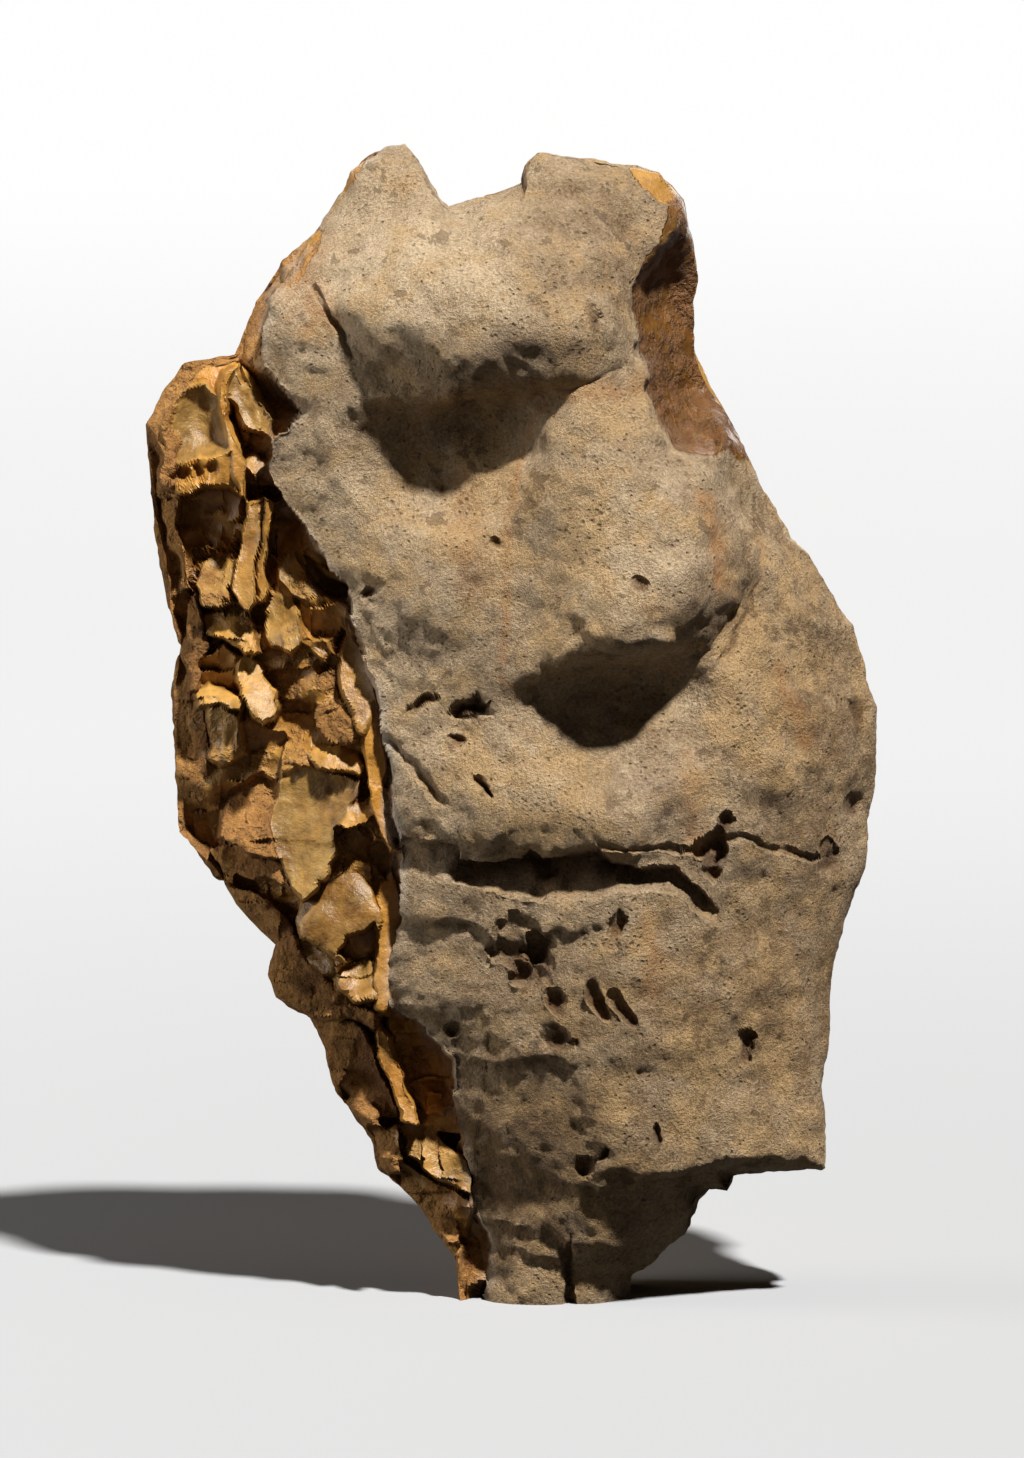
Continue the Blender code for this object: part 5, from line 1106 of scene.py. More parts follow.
def front_masks(x, z):
    """What shows at each place of the front, 0 to 1, for every mask the finish reads."""
    x, z = warped(x, z)
    beyond = border_x(z) - x
    flint = (beyond > 0).astype(float)
    hollowed = np.zeros(len(x))
    for cx, cz, half_wide, half_high, turn, _, _ in BITES:
        across, up = turned(x, z, cx, cz, turn)
        inside = (across / half_wide) ** 2 + (up / half_high) ** 2 < BITE_SHARE
        hollowed = np.maximum(hollowed, inside)
    finish = flint_colour_and_shade(x, z)
    for cx, cz, half_wide, half_high, turn, *look in FLINT_PATCHES:
        across, up = turned(x, z, cx, cz, turn)
        inside = (across / half_wide) ** 2 + (up / half_high) ** 2 < 1
        flint = np.maximum(flint, inside)
        finish = np.where(inside, np.array(look)[:, None], finish)
    pale, amber, crust = finish
    pale = pale + (FLAKE_TONE - pale) * FLAKE_EVENNESS
    # The tone mask carries painted light: a paler forehead, cheek and knob top, and painted shade under the
    # brow, on the chin and on the foot.
    tone = 0.5 + 0.5 * np.clip(spread(x, z, TONE_AND_PAINTED_LIGHT), -1, 1)
    stain = np.zeros(len(x))
    for half_wide, strength, line in STAINS:
        line = [(*place, 1.0) for place in line]
        stain = np.maximum(stain, strength * groove(x, z, half_wide, half_wide, line))
    # The hollow mask paints shade into clefts, grooves and pits, in the pits partly dirt.
    hollow = np.clip(sum(cleft(x, z, columns) for columns in CLEFTS) / CLEFT_DARKEST, 0, 1)
    for steep, gentle, line in GROOVES:
        hollow = np.maximum(hollow, groove(x, z, steep, gentle, line) / GROOVE_DARKEST)
    for cx, cz, half_wide, half_high, turn, _ in PITS:
        across, up = turned(x, z, cx, cz, turn)
        away = (across / half_wide) ** 2 + (up / half_high) ** 2
        hollow = np.maximum(hollow, np.clip(PIT_REACH - away, 0, 1))
    section = np.clip(1 - np.abs(beyond - SECTION_MIDDLE) / SECTION_REACH, 0, 1)
    section *= SECTION_ELSEWHERE + (1 - SECTION_ELSEWHERE) * spread(x, z, SECTION_CLEAREST)
    bite_crust, bite_amber, bite_tone = BITE_LOOK
    return {
        "flint": np.maximum(flint, hollowed),
        "crust": np.where(hollowed > 0, bite_crust, crust),
        "amber": np.where(hollowed > 0, bite_amber, amber),
        "tone": np.where(hollowed > 0, bite_tone, np.where(flint > 0, pale, tone)),
        "stain": stain,
        "bruise_and_shade": np.clip(spread(x, z, BRUISES_AND_PAINTED_SHADE), 0, 1) * (1 - flint),
        "ochre": np.clip(spread(x, z, OCHRES), 0, 1),
        "hollow": np.clip(hollow, 0, 1) * (1 - flint),
        "section": section,
        "rear": np.zeros(len(x)),
    }


def back_masks(x, z):
    """What shows on the back: rind on its right, and on its left old crust, with flint in the scars."""
    x, z = warped(x, z)
    scar = np.clip(-scar_floor(x, z, BACK_SCARS) * SCAR_GAIN - SCAR_START, 0, 1)
    along = np.stack([0 * z, 0 * z, z], axis=1)
    line = BACK_FLINT_X + BACK_WANDER * value_noise(along, BACK_WANDER_LENGTH, SEED + 72)
    even = np.ones(len(x))
    return {
        "flint": np.maximum(x < line, scar > 0.5).astype(float),
        "crust": 1 - 0.8 * scar,
        "amber": 0.3 * even,
        "tone": 0.4 + 0.15 * scar,
        "stain": 0 * even,
        "bruise_and_shade": 0 * even,
        "ochre": 0.5 * even,
        "hollow": 0 * even,
        "section": SECTION_ELSEWHERE * np.clip(1 - np.abs(x - line) / SECTION_REACH, 0, 1),
        "rear": even,
    }


def stone_masks():
    """The masks of every point, in the order of stone_surface: front sheet, back sheet, side band."""
    share, place = sheet_grid()
    rim = walk_rim(place)
    x = CENTRE[0] + share * (rim[0] - CENTRE[0])
    z = CENTRE[1] + share * (rim[1] - CENTRE[1])
    front, back = front_masks(x, z), back_masks(x, z)
    ring = rim_ring()
    steps = np.arange(1, BAND_ROWS) / BAND_ROWS
    masks = {}
    for name in front:
        band = [front[name][ring] * (1 - t) + back[name][ring] * t for t in steps]
        masks[name] = np.concatenate([front[name], back[name], *band])
    return masks


def weathered(points, masks):
    """The masks with windows of bare flint on the sides and back, where noise also shifts tone and amber."""
    rear = np.clip(3 * masks.pop("rear"), 0, 1)
    window = value_noise(points, WINDOW_SIZE, SEED + 70)
    window += 0.5 * value_noise(points, WINDOW_DETAIL, SEED + 71)
    bare = np.clip((window - WINDOW_LEVEL) * 4, 0, 1) * rear
    masks["crust"] = masks["crust"] * (1 - WINDOW_BARE * bare)
    for step, (name, (size, strength)) in enumerate([("tone", REAR_TONE), ("amber", REAR_AMBER)]):
        masks[name] = masks[name] + strength * rear * value_noise(points, size, SEED + 73 + step)
    return masks


def roughened(points, faces, masks):
    """The surface pushed in and out along its normals by lumps of several sizes, smoother on flint."""
    smooth = masks["flint"] * (1 - masks["crust"])
    lumps = np.zeros(len(points))
    for step, (size, on_rind, on_flint) in enumerate(LUMPS):
        height = on_rind + (on_flint - on_rind) * smooth
        lumps += height * value_noise(points, size, SEED + step)
    return points + corner_normals(points, faces) * lumps[:, None]


def bend(points, faces):
    """How far each point stands proud of its neighbours' middle, along its normal: crests are positive."""
    total, count = np.zeros_like(points), np.zeros(len(points))
    for corner in range(4):
        here, there = faces[:, corner], faces[:, (corner + 1) % 4]
        for a, b in ((here, there), (there, here)):
            count += np.bincount(a, minlength=len(points))
            for axis in range(3):
                total[:, axis] += np.bincount(a, points[b, axis], len(points))
    return ((points - total / count[:, None]) * corner_normals(points, faces)).sum(axis=1)


def add_attribute(mesh, name, values):
    """One value for each point, kept in the mesh under a name."""
    layer = mesh.attributes.new(name, "FLOAT", "POINT")
    layer.data.foreach_set("value", np.asarray(values, dtype=np.float32))


def stone_mesh(triangles):
    """The dense surface in metres with its masks, thinned to a number of triangles and cut at the foot."""
    points, faces = stone_surface()
    masks = weathered(points, stone_masks())
    points = roughened(points, faces, masks)
    proud = bend(points, faces)
    draft = bpy.data.meshes.new("stone_draft")
    draft.from_pydata((points - (*MIDDLE, 0)) * MM, [], faces.tolist())
    for name, values in masks.items():
        add_attribute(draft, name, values)
    # Crest paints a highlight on the flint's crests; cavity paints shade into the hollows of flint and rind.
    add_attribute(draft, "crest", np.clip(proud * BEND_GAIN, 0, 1))
    add_attribute(draft, "cavity", np.clip(-proud * BEND_GAIN, 0, 1))
    holder = bpy.data.objects.new("stone_draft", draft)
    bpy.context.collection.objects.link(holder)
    thin = holder.modifiers.new("thin", "DECIMATE")
    thin.ratio = triangles / (len(faces) * 2)
    thinned = bmesh.new()
    thinned.from_object(holder, bpy.context.evaluated_depsgraph_get())
    bpy.data.objects.remove(holder)
    bpy.data.meshes.remove(draft)

    cut = bmesh.ops.bisect_plane(
        thinned,
        geom=thinned.verts[:] + thinned.edges[:] + thinned.faces[:],
        plane_co=(0, 0, 0),
        plane_no=(0, 0, 1),
        clear_inner=True,
    )
    rim = [item for item in cut["geom_cut"] if isinstance(item, bmesh.types.BMEdge)]
    bmesh.ops.edgenet_fill(thinned, edges=rim)
    bmesh.ops.triangulate(thinned, faces=thinned.faces[:])
    bmesh.ops.recalc_face_normals(thinned, faces=thinned.faces[:])
    mesh = bpy.data.meshes.new("stone")
    thinned.to_mesh(mesh)
    thinned.free()
    places = np.empty(len(mesh.vertices) * 3, dtype=np.float32)
    mesh.vertices.foreach_get("co", places)
    low, high = np.array(SOLID_BOX)
    places = np.clip(places.reshape(-1, 3), low, high)
    mesh.vertices.foreach_set("co", places.reshape(-1).astype(np.float32))
    mesh.update()
    mesh.shade_smooth()
    mesh.set_sharp_from_angle(angle=SHARP_ANGLE)
    return mesh


def add_node(tree, kind, inputs=None, **settings):
    """One node, with its settings, and its inputs either set to a value or linked from a socket."""
    node = tree.nodes.new(kind)
    for name, value in settings.items():
        setattr(node, name, value)
    for name, value in (inputs or {}).items():
        if isinstance(value, bpy.types.NodeSocket):
            tree.links.new(value, node.inputs[name])
        else:
            node.inputs[name].default_value = value
    return node


def object_place(tree):
    """The Object coordinates."""
    return add_node(tree, "ShaderNodeTexCoord").outputs["Object"]


def noise(tree, size, detail=4.0, roughness=0.5, place=None, distortion=0.0):
    """Noise with blotches of a size in metres, 0 to 1."""
    inputs = {"Vector": place or object_place(tree), "Scale": 1 / size, "Detail": detail}
    inputs.update({"Roughness": roughness, "Distortion": distortion})
    return add_node(tree, "ShaderNodeTexNoise", inputs).outputs["Fac"]


def noise_at(tree, place, scale, detail, roughness):
    """Noise of a scale that is read from a socket, 0 to 1."""
    inputs = {"Vector": place, "Scale": scale, "Detail": detail, "Roughness": roughness}
    return add_node(tree, "ShaderNodeTexNoise", inputs).outputs["Fac"]


def between(tree, value, low, high, to_low=0.0, to_high=1.0):
    """A value's smooth climb from one level to another as it goes from low to high."""
    inputs = {0: value, 1: low, 2: high, 3: to_low, 4: to_high}
    return add_node(tree, "ShaderNodeMapRange", inputs, interpolation_type="SMOOTHSTEP").outputs[0]


def calc(tree, operation, first, second=0.0, clamp=False):
    """One step of arithmetic on values."""
    inputs = {0: first, 1: second}
    return add_node(tree, "ShaderNodeMath", inputs, operation=operation, use_clamp=clamp).outputs[0]


def mixed(tree, share, first, second, blend="MIX"):
    """Two colours mixed by a share of the second."""
    inputs = {0: share, 6: first, 7: second}
    return add_node(tree, "ShaderNodeMix", inputs, data_type="RGBA", blend_type=blend).outputs[2]


def attribute(tree, name):
    """One of the mesh's masks."""
    return add_node(tree, "ShaderNodeAttribute", attribute_name=name).outputs["Fac"]


def new_group(name, inputs, outputs):
    """An empty shader group with its named sockets, and its two end nodes."""
    group = bpy.data.node_groups.new(name, "ShaderNodeTree")
    for label, kind, value in inputs:
        socket = group.interface.new_socket(label, in_out="INPUT", socket_type=kind)
        socket.default_value = value
    for label, kind in outputs:
        group.interface.new_socket(label, in_out="OUTPUT", socket_type=kind)
    return group, group.nodes.new("NodeGroupInput"), group.nodes.new("NodeGroupOutput")


def mottle_group():
    """Blotches of two colours: a coarse and a fine noise are added and pushed by Lean, and mix the two."""
    colour, value = "NodeSocketColor", "NodeSocketFloat"
    group, start, end = new_group(
        "mottle",
        [("Pale", colour, (0.6, 0.5, 0.4, 1)), ("Dark", colour, (0.3, 0.2, 0.1, 1)), ("Lean", value, 0.5),
         ("Coarse Scale", value, 60.0), ("Fine Scale", value, 400.0), ("Contrast", value, 1.0)],
        [("Color", colour), ("Mask", value)],
    )
    place = object_place(group)
    blotches = [
        noise_at(group, place, start.outputs[label], detail, roughness)
        for label, detail, roughness in (("Coarse Scale", 4.0, 0.55), ("Fine Scale", 5.0, 0.65))
    ]
    total = calc(group, "ADD", *blotches)
    spreading = calc(group, "MULTIPLY", calc(group, "SUBTRACT", total, 1.0), start.outputs["Contrast"])
    mask = calc(group, "ADD", spreading, start.outputs["Lean"], clamp=True)
    group.links.new(mask, end.inputs["Mask"])
    group.links.new(mixed(group, mask, start.outputs["Dark"], start.outputs["Pale"]), end.inputs["Color"])
    return group


def grain_group():
    """Sandy grain: its height is a fine noise and a finer one, and small pores are cut out of it."""
    value = "NodeSocketFloat"
    group, start, end = new_group(
        "grain",
        [("Grain Scale", value, 900.0), ("Pore Scale", value, 420.0), ("Pore Share", value, 0.3)],
        [("Height", value), ("Pores", value)],
    )
    place = object_place(group)
    grain = noise_at(group, place, start.outputs["Grain Scale"], 5.0, 0.7)
    shaken = add_node(group, "ShaderNodeTexNoise", {"Vector": place, "Scale": 500.0, "Detail": 3.0})
    shift = add_node(group, "ShaderNodeVectorMath", {0: shaken.outputs["Color"], 1: (PORE_SHAKE,) * 3},
                     operation="MULTIPLY").outputs["Vector"]
    moved = add_node(group, "ShaderNodeVectorMath", {0: place, 1: shift}, operation="ADD").outputs["Vector"]
    cells = add_node(group, "ShaderNodeTexVoronoi",
                     {"Vector": moved, "Scale": start.outputs["Pore Scale"], "Randomness": 1.0})
    patchy = between(group, noise(group, 0.008, 4.0, 0.7), 0.38, 0.68)
    reach = calc(group, "MULTIPLY", patchy, start.outputs["Pore Share"])
    pores = calc(group, "SUBTRACT", 1.0, calc(group, "DIVIDE", cells.outputs["Distance"], reach), clamp=True)
    height = calc(group, "SUBTRACT", grain, calc(group, "MULTIPLY", pores, 0.8))
    group.links.new(height, end.inputs["Height"])
    group.links.new(pores, end.inputs["Pores"])
    return group


def place_group(tree, group, **inputs):
    """A group placed in a tree, with its inputs set or linked."""
    node = tree.nodes.new("ShaderNodeGroup")
    node.node_tree = group
    for label, value in inputs.items():
        socket = node.inputs[label.replace("_", " ").title()]
        if isinstance(value, bpy.types.NodeSocket):
            tree.links.new(value, socket)
        else:
            socket.default_value = value
    return node.outputs


def stone_material(finish):
    """Rind, broken flint and old crust, each in its own colours, mixed by the masks on the mesh, with
    painted shade in hollows and crevices and a painted highlight on crests.
    """
    material = bpy.data.materials.new("weathered_flint")
    material.use_nodes = True
    tree = material.node_tree
    shader = tree.nodes["Principled BSDF"]
    mottle, grain = mottle_group(), grain_group()
    masks = {name: attribute(tree, name) for name in MASK_NAMES}
    ragged = calc(tree, "SUBTRACT", noise(tree, 0.0016, 4.0, 0.6), 0.5)

    def crisp(name, softness=0.12):
        """A mask with a ragged edge: noise is added before it is cut at a half."""
        wobbly = calc(tree, "ADD", masks[name], calc(tree, "MULTIPLY", ragged, 0.5))
        return between(tree, wobbly, 0.5 - softness, 0.5 + softness)

    flint = crisp("flint")
    patches = calc(tree, "SUBTRACT", noise(tree, 0.005, 5.0, 0.65), 0.5)
    crust = between(tree, calc(tree, "ADD", masks["crust"], calc(tree, "MULTIPLY", patches, 1.6)), 0.3, 0.7)
    # Painted shade: the rind's mottle leans darker in hollows of the surface.
    rind_lean = calc(tree, "SUBTRACT", masks["tone"], calc(tree, "MULTIPLY", masks["cavity"], 0.15))
    rind = place_group(tree, mottle, pale=finish.rind_pale, dark=finish.rind_dark_and_shade, lean=rind_lean,
                       coarse_scale=120.0, fine_scale=1100.0, contrast=1.1)["Color"]
    sandy = place_group(tree, grain, grain_scale=1700.0, pore_scale=620.0, pore_share=0.40)
    pitted = noise(tree, 0.0048, 6.0, 0.72)
    yellow = calc(tree, "ADD", noise(tree, 0.010, 5.0, 0.65), calc(tree, "MULTIPLY", masks["ochre"], 0.16))
    rind = mixed(tree, between(tree, yellow, 0.46, 0.68, 0.0, 0.75), rind, finish.ochre)
    # Painted shade: the rind is darkened where the grain and the pitting are low.
    gaps = between(tree, sandy["Height"], 0.60, 0.38, 0.0, 0.5)
    low_spots = between(tree, pitted, 0.46, 0.32, 0.0, 0.35)
    for shade in (gaps, low_spots):
        rind = mixed(tree, shade, rind, finish.grain_gap_shade, "MULTIPLY")
    rind = mixed(tree, calc(tree, "MULTIPLY", sandy["Pores"], 0.35), rind, PORE_COLOUR)
    # Bruises, and the painted shade along the brow's underside.
    bruise_and_shade = calc(tree, "MULTIPLY", masks["bruise_and_shade"], between(tree, noise(tree, 0.006, 5.0, 0.7), 0.36, 0.70))
    rind = mixed(tree, calc(tree, "MULTIPLY", bruise_and_shade, 0.5), rind, finish.bruise_and_shade)
    stain = calc(tree, "MULTIPLY", masks["stain"], between(tree, noise(tree, 0.003, 5.0, 0.7), 0.3, 0.6))
    rind = mixed(tree, calc(tree, "MULTIPLY", stain, 0.7), rind, finish.stain)
    # Painted shade in clefts, grooves and pits, in the pits partly dirt.
    rind = mixed(tree, calc(tree, "MULTIPLY", masks["hollow"], 0.75), rind, finish.rind_dark_and_shade, "MULTIPLY")

    olive, amber = (
        place_group(tree, mottle, pale=pale, dark=dark, lean=masks["tone"], coarse_scale=90.0,
                    fine_scale=400.0, contrast=1.1)["Color"]
        for pale, dark in ((finish.olive_pale, finish.flint_dark_and_shade), (finish.amber_pale, finish.amber_dark))
    )
    wandering = calc(tree, "SUBTRACT", noise(tree, 0.006, 3.0), 0.5)
    glassy = mixed(tree, calc(tree, "ADD", masks["amber"], wandering, clamp=True), olive, amber)
    # A painted highlight on crests and painted shade in the flint's crevices.
    glassy = mixed(tree, calc(tree, "MULTIPLY", masks["crest"], 0.12), glassy, finish.crest_highlight)
    glassy = mixed(tree, calc(tree, "MULTIPLY", masks["cavity"], 0.5), glassy, finish.flint_dark_and_shade)
    rusty = place_group(tree, mottle, pale=finish.crust_pale, dark=finish.crust_dark, lean=masks["tone"],
                        coarse_scale=110.0, fine_scale=700.0, contrast=1.6)["Color"]
    coarse = place_group(tree, grain, grain_scale=600.0, pore_scale=260.0, pore_share=0.8)
    broken = mixed(tree, crust, glassy, rusty)
    colour = mixed(tree, flint, rind, broken)
    section = calc(tree, "MULTIPLY", masks["section"], between(tree, noise(tree, 0.005, 3.0), 0.30, 0.55))
    colour = mixed(tree, calc(tree, "MULTIPLY", section, 0.8), colour, finish.section)
    tree.links.new(colour, shader.inputs["Base Color"])

    bare = calc(tree, "MULTIPLY", flint, calc(tree, "SUBTRACT", 1.0, crust))
    tree.links.new(between(tree, bare, 0.0, 1.0, 0.92, 0.42), shader.inputs["Roughness"])
    shader.inputs["IOR"].default_value = 1.46
    grains = calc(tree, "MULTIPLY", sandy["Height"], finish.grain_height)
    rough_height = calc(tree, "ADD", grains, calc(tree, "MULTIPLY", pitted, finish.pitting_height))
    crust_height = calc(tree, "MULTIPLY", coarse["Height"], finish.crust_height)
    smooth_height = calc(tree, "MULTIPLY", noise(tree, 0.0030, 5.0, 0.65), finish.ripple_height)
    broken_height = add_node(tree, "ShaderNodeMix", {0: crust, 2: smooth_height, 3: crust_height}).outputs[0]
    height = add_node(tree, "ShaderNodeMix", {0: flint, 2: rough_height, 3: broken_height}).outputs[0]
    bump = add_node(tree, "ShaderNodeBump", {"Strength": 1.0, "Distance": 1.0, "Height": height})
    tree.links.new(bump.outputs["Normal"], shader.inputs["Normal"])
    return material


def round_sheet(radius, rings, spokes):
    """A flat disc: its first parameter runs out from the middle, its second once round."""
    out, turn = np.meshgrid(np.linspace(0, 1, rings) ** 2 * radius, np.arange(spokes) / spokes * math.tau,
                            indexing="ij")
    points = np.stack([out * np.cos(turn), out * np.sin(turn), np.zeros_like(out)], axis=-1).reshape(-1, 3)
    node = np.arange(rings * spokes).reshape(rings, spokes)
    inner, outer = node[:-1], node[1:]
    faces = np.stack([inner, outer, np.roll(outer, -1, 1), np.roll(inner, -1, 1)], axis=-1).reshape(-1, 4)
    mesh = bpy.data.meshes.new("floor")
    mesh.from_pydata(points, [], faces.tolist())
    return mesh


def floor_material(studio):
    """A pale floor, whiter further off, that throws little light back up at the stone."""
    material = bpy.data.materials.new("studio_floor")
    material.use_nodes = True
    tree = material.node_tree
    shader = tree.nodes["Principled BSDF"]
    place = object_place(tree)
    far = add_node(tree, "ShaderNodeVectorMath", {0: place}, operation="LENGTH").outputs["Value"]
    near_tone = between(tree, far, 0.1, 1.2, studio.floor_near, studio.floor_middle)
    rise = between(tree, far, 1.0, 5.0, 0.0, studio.floor_far - studio.floor_middle)
    tone = calc(tree, "ADD", near_tone, rise)
    seen = add_node(tree, "ShaderNodeLightPath").outputs["Is Camera Ray"]
    shown = add_node(tree, "ShaderNodeMix", {0: seen, 2: studio.floor_bounce, 3: tone}).outputs[0]
    tree.links.new(shown, shader.inputs["Base Color"])
    shader.inputs["Roughness"].default_value = 0.9
    shader.inputs["Specular IOR Level"].default_value = 0.0
    return material


def add_object(name, data):
    """A new object at the origin, linked to the scene."""
    item = bpy.data.objects.new(name, data)
    bpy.context.collection.objects.link(item)
    return item


def aim(item, away):
    """Turns an object so that it looks back along a direction."""
    item.rotation_euler = Vector(away).to_track_quat("Z", "Y").to_euler()


def soft_light(name, power, size, away):
    """A square light that stands at a place and faces the origin."""
    light = add_object(name, bpy.data.lights.new(name, "AREA"))
    light.data.energy = power
    light.data.size = size
    light.location = away
    aim(light, away)
    return light


def studio_world(studio):
    """White where the camera looks past the floor, and a dim even fill for everything else."""
    world = bpy.data.worlds.new("studio")
    bpy.context.scene.world = world
    world.use_nodes = True
    tree = world.node_tree
    seen = add_node(tree, "ShaderNodeLightPath").outputs["Is Camera Ray"]
    strength = add_node(tree, "ShaderNodeMix", {0: seen, 2: studio.fill, 3: 1.0}).outputs[0]
    tree.links.new(strength, tree.nodes["Background"].inputs["Strength"])
    colour = mixed(tree, seen, studio.fill_colour, (1, 1, 1, 1))
    tree.links.new(colour, tree.nodes["Background"].inputs["Color"])


def colour_setting(name, description, red, green, blue):
    """A property that holds one colour."""
    return FloatVectorProperty(name=name, description=description, subtype="COLOR", size=4,
                               default=(red, green, blue, 1))


def height_setting(name, description, metres):
    """A property that holds how far a fine relief stands."""
    return FloatProperty(name=name, description=description, default=metres, unit="LENGTH", precision=5)


def paleness_setting(name, description, share):
    """A property that holds a grey from 0 to 1."""
    return FloatProperty(name=name, description=description, default=share, subtype="FACTOR", min=0, max=1)


class NoduleShape(bpy.types.PropertyGroup):
    triangles: IntProperty(name="Triangles", description="Triangles left in the stone", default=190000,
                           min=20000)


class NoduleFinish(bpy.types.PropertyGroup):
    rind_pale: colour_setting("Pale Rind", "Dry, sunlit rind", 0.70, 0.53, 0.335)
    # Also used as the painted shade in clefts, grooves and pits.
    rind_dark_and_shade: colour_setting("Dark Rind", "Dirtier rind", 0.24, 0.145, 0.062)
    # Also the painted shade along the brow's underside.
    bruise_and_shade: colour_setting("Bruise", "Purple-grey bruises in the rind", 0.19, 0.13, 0.10)
    ochre: colour_setting("Ochre", "Yellower patches of the rind", 0.56, 0.36, 0.16)
    # Painted shade laid into the low spots of the grain and the pitting.
    grain_gap_shade: colour_setting("Grit", "Shade of the gaps between grains", 0.42, 0.34, 0.24)
    stain: colour_setting("Stain", "Iron stains on the rind", 0.40, 0.17, 0.045)
    section: colour_setting("Cut Rind", "The rind where it is broken through", 0.72, 0.62, 0.50)
    olive_pale: colour_setting("Olive Flint", "Pale olive-grey flint", 0.50, 0.30, 0.085)
    amber_pale: colour_setting("Amber Flint", "Pale amber flint", 0.58, 0.27, 0.036)
    amber_dark: colour_setting("Dark Amber", "Dark amber flint", 0.30, 0.115, 0.014)
    # Also used as the painted shade in the flint's crevices.
    flint_dark_and_shade: colour_setting("Dark Flint", "Flint in the deep scars", 0.085, 0.034, 0.006)
    # A painted highlight on the flint's crests.
    crest_highlight: colour_setting("Flint Edge", "Thin edges between scars", 0.72, 0.44, 0.13)
    crust_pale: colour_setting("Pale Crust", "Old brown crust", 0.52, 0.25, 0.062)
    crust_dark: colour_setting("Dark Crust", "Rust in the crust", 0.17, 0.066, 0.013)
    grain_height: height_setting("Grain Height", "How far the rind's sand grains stand", 0.0011)
    pitting_height: height_setting("Pitting Height", "How deep the rind is pitted", 0.0014)
    crust_height: height_setting("Crust Height", "How far the crust's grains stand", 0.0022)
    ripple_height: height_setting("Ripple Height", "How far ripples stand on broken flint", 0.0006)


class NoduleStudio(bpy.types.PropertyGroup):
    key: FloatProperty(name="Key Light", description="Strength of the light at the upper right", default=6.9)
    key_spread: FloatProperty(name="Key Softness", description="How wide the key light looks",
                              subtype="ANGLE", default=math.radians(4))
    side: FloatProperty(name="Side Light", description="Power of the soft light at the left", default=7.0)
    top: FloatProperty(name="Top Light", description="Power of the broad light overhead", default=0.6)
    back: FloatProperty(name="Back Light", description="Power of the soft light behind, on the stone alone",
                        default=13.0)
    fill: FloatProperty(name="Fill", description="Strength of the even light from all round", default=0.015)
    fill_colour: colour_setting("Fill Colour", "Colour of the even light", 1.0, 0.66, 0.38)
    floor_near: paleness_setting("Floor Near", "Paleness of the floor round the stone", 0.39)
    floor_middle: paleness_setting("Floor Middle", "Paleness of the floor a metre off", 0.47)
    floor_far: paleness_setting("Floor Far", "Paleness of the floor far off", 0.54)
    floor_bounce: paleness_setting("Floor Bounce", "How pale the floor is to the light it throws", 0.06)


class NODULE_OT_stone(bpy.types.Operator):
    """Builds the stone on its solid, with its finish"""

    bl_idname = "nodule.stone"
    bl_label = "Stone"

    def execute(self, context):
        scene = context.scene
        mesh = stone_mesh(scene.nodule_shape.triangles)
        mesh.materials.append(stone_material(scene.nodule_finish))
        stone = add_object(STONE, mesh)
        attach(stone, BODY)
        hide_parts(SOLID)
        return {"FINISHED"}


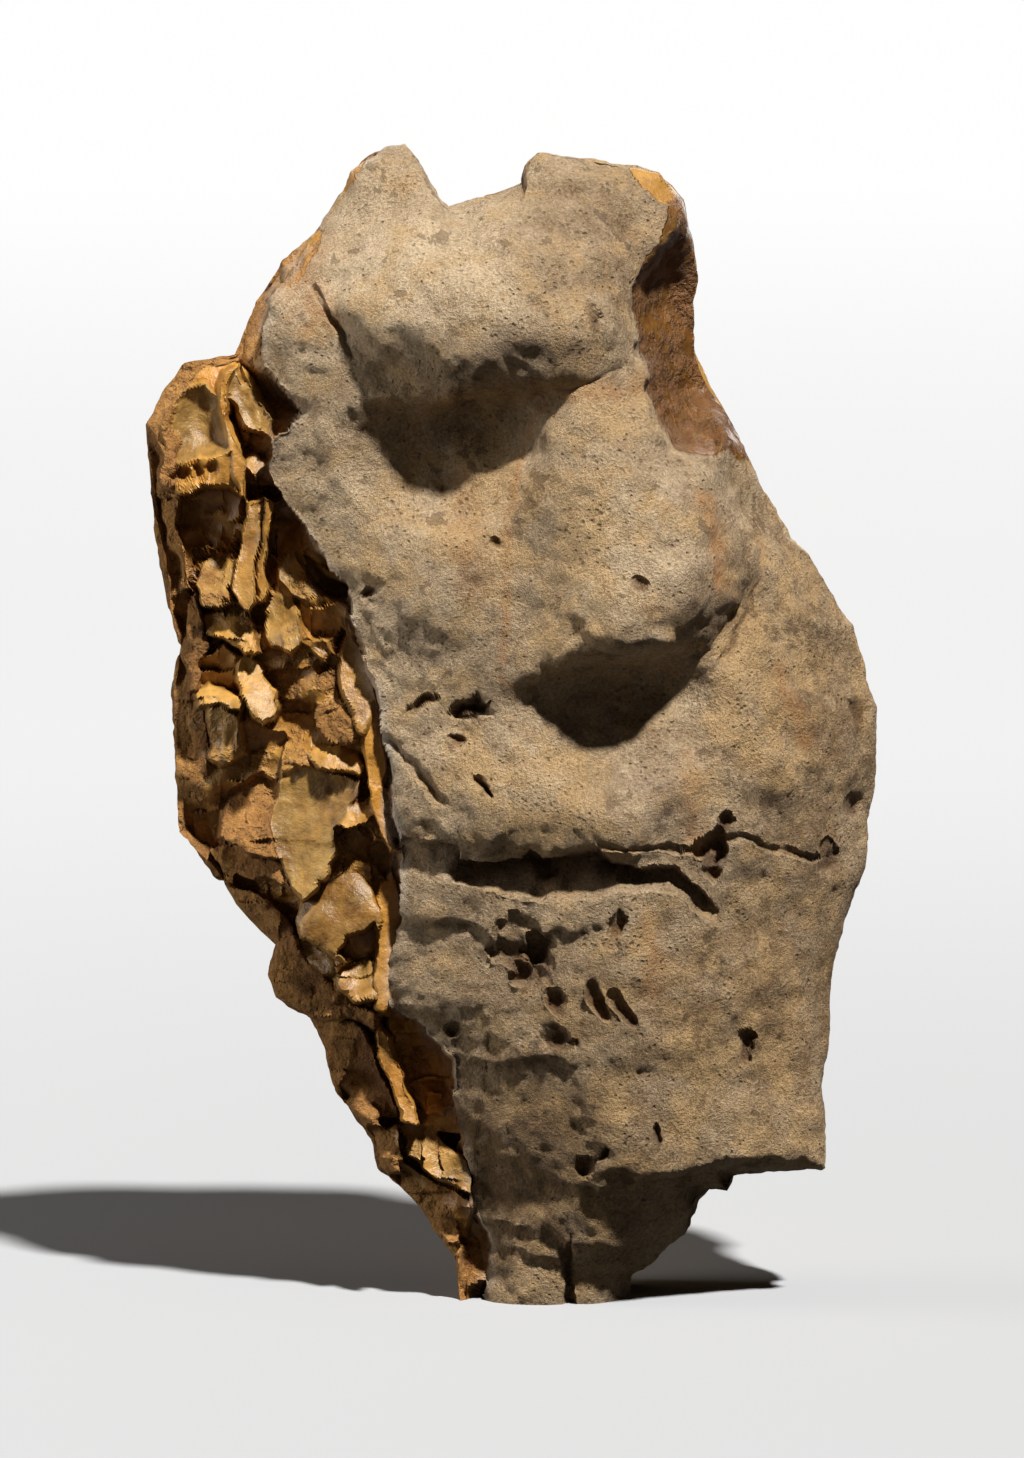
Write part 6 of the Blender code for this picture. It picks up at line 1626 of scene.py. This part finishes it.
class NODULE_OT_studio(bpy.types.Operator):
    """Sets up the floor, the lights and the camera"""

    bl_idname = "nodule.studio"
    bl_label = "Studio"

    def execute(self, context):
        studio = context.scene.nodule_studio
        floor = add_object("floor", round_sheet(FLOOR_RADIUS, 40, 96))
        floor.data.materials.append(floor_material(studio))
        studio_world(studio)

        key = add_object("key_light", bpy.data.lights.new("key_light", "SUN"))
        key.data.energy = studio.key
        key.data.angle = studio.key_spread
        aim(key, KEY_AWAY)
        soft_light("side_light", studio.side, SIDE_SIZE, SIDE_AWAY)
        soft_light("top_light", studio.top, TOP_SIZE, TOP_AWAY)
        back = soft_light("back_light", studio.back, BACK_SIZE, BACK_AWAY)
        lit = bpy.data.collections.new("lit_from_behind")
        lit.objects.link(bpy.data.objects[STONE])
        back.light_linking.receiver_collection = lit

        tip = math.radians(VIEW_TIP)
        height = (VIEW_HEIGHT - FOOT_FRONT * math.sin(tip)) / math.cos(tip)
        middle = Vector((-MIDDLE[0], -MIDDLE[1], height)) * MM
        away = Vector((0, -math.cos(tip), math.sin(tip)))
        camera = add_object("camera", bpy.data.cameras.new("camera"))
        camera.data.sensor_width = SENSOR
        camera.data.lens = SENSOR * VIEW_DISTANCE / (IMAGE_HIGH * MM_PER_PIXEL)
        camera.data.clip_end = 60.0
        camera.location = middle + away * VIEW_DISTANCE * MM
        aim(camera, away)
        context.scene.camera = camera
        context.scene.view_settings.view_transform = "Standard"
        return {"FINISHED"}


class NODULE_PT_panel(bpy.types.Panel):
    """Lists the stone's and the studio's settings"""

    bl_idname = "NODULE_PT_panel"
    bl_label = "Flint Nodule"
    bl_space_type = "VIEW_3D"
    bl_region_type = "UI"
    bl_category = "Nodule"

    def draw(self, context):
        scene = context.scene
        for settings, operator in (
            (scene.nodule_shape, NODULE_OT_stone.bl_idname),
            (scene.nodule_finish, None),
            (scene.nodule_studio, NODULE_OT_studio.bl_idname),
        ):
            for name in settings.__annotations__:
                self.layout.prop(settings, name)
            if operator:
                self.layout.operator(operator)


CLASSES = (NoduleShape, NoduleFinish, NoduleStudio, NODULE_OT_stone, NODULE_OT_studio, NODULE_PT_panel)


def register():
    for kind in CLASSES:
        bpy.utils.register_class(kind)
    bpy.types.Scene.nodule_shape = PointerProperty(type=NoduleShape)
    bpy.types.Scene.nodule_finish = PointerProperty(type=NoduleFinish)
    bpy.types.Scene.nodule_studio = PointerProperty(type=NoduleStudio)


def unregister():
    del bpy.types.Scene.nodule_shape, bpy.types.Scene.nodule_finish, bpy.types.Scene.nodule_studio
    for kind in reversed(CLASSES):
        bpy.utils.unregister_class(kind)


def main():
    register()
    bpy.ops.nodule.stone()
    bpy.ops.nodule.studio()


if __name__ == "__main__":
    main()
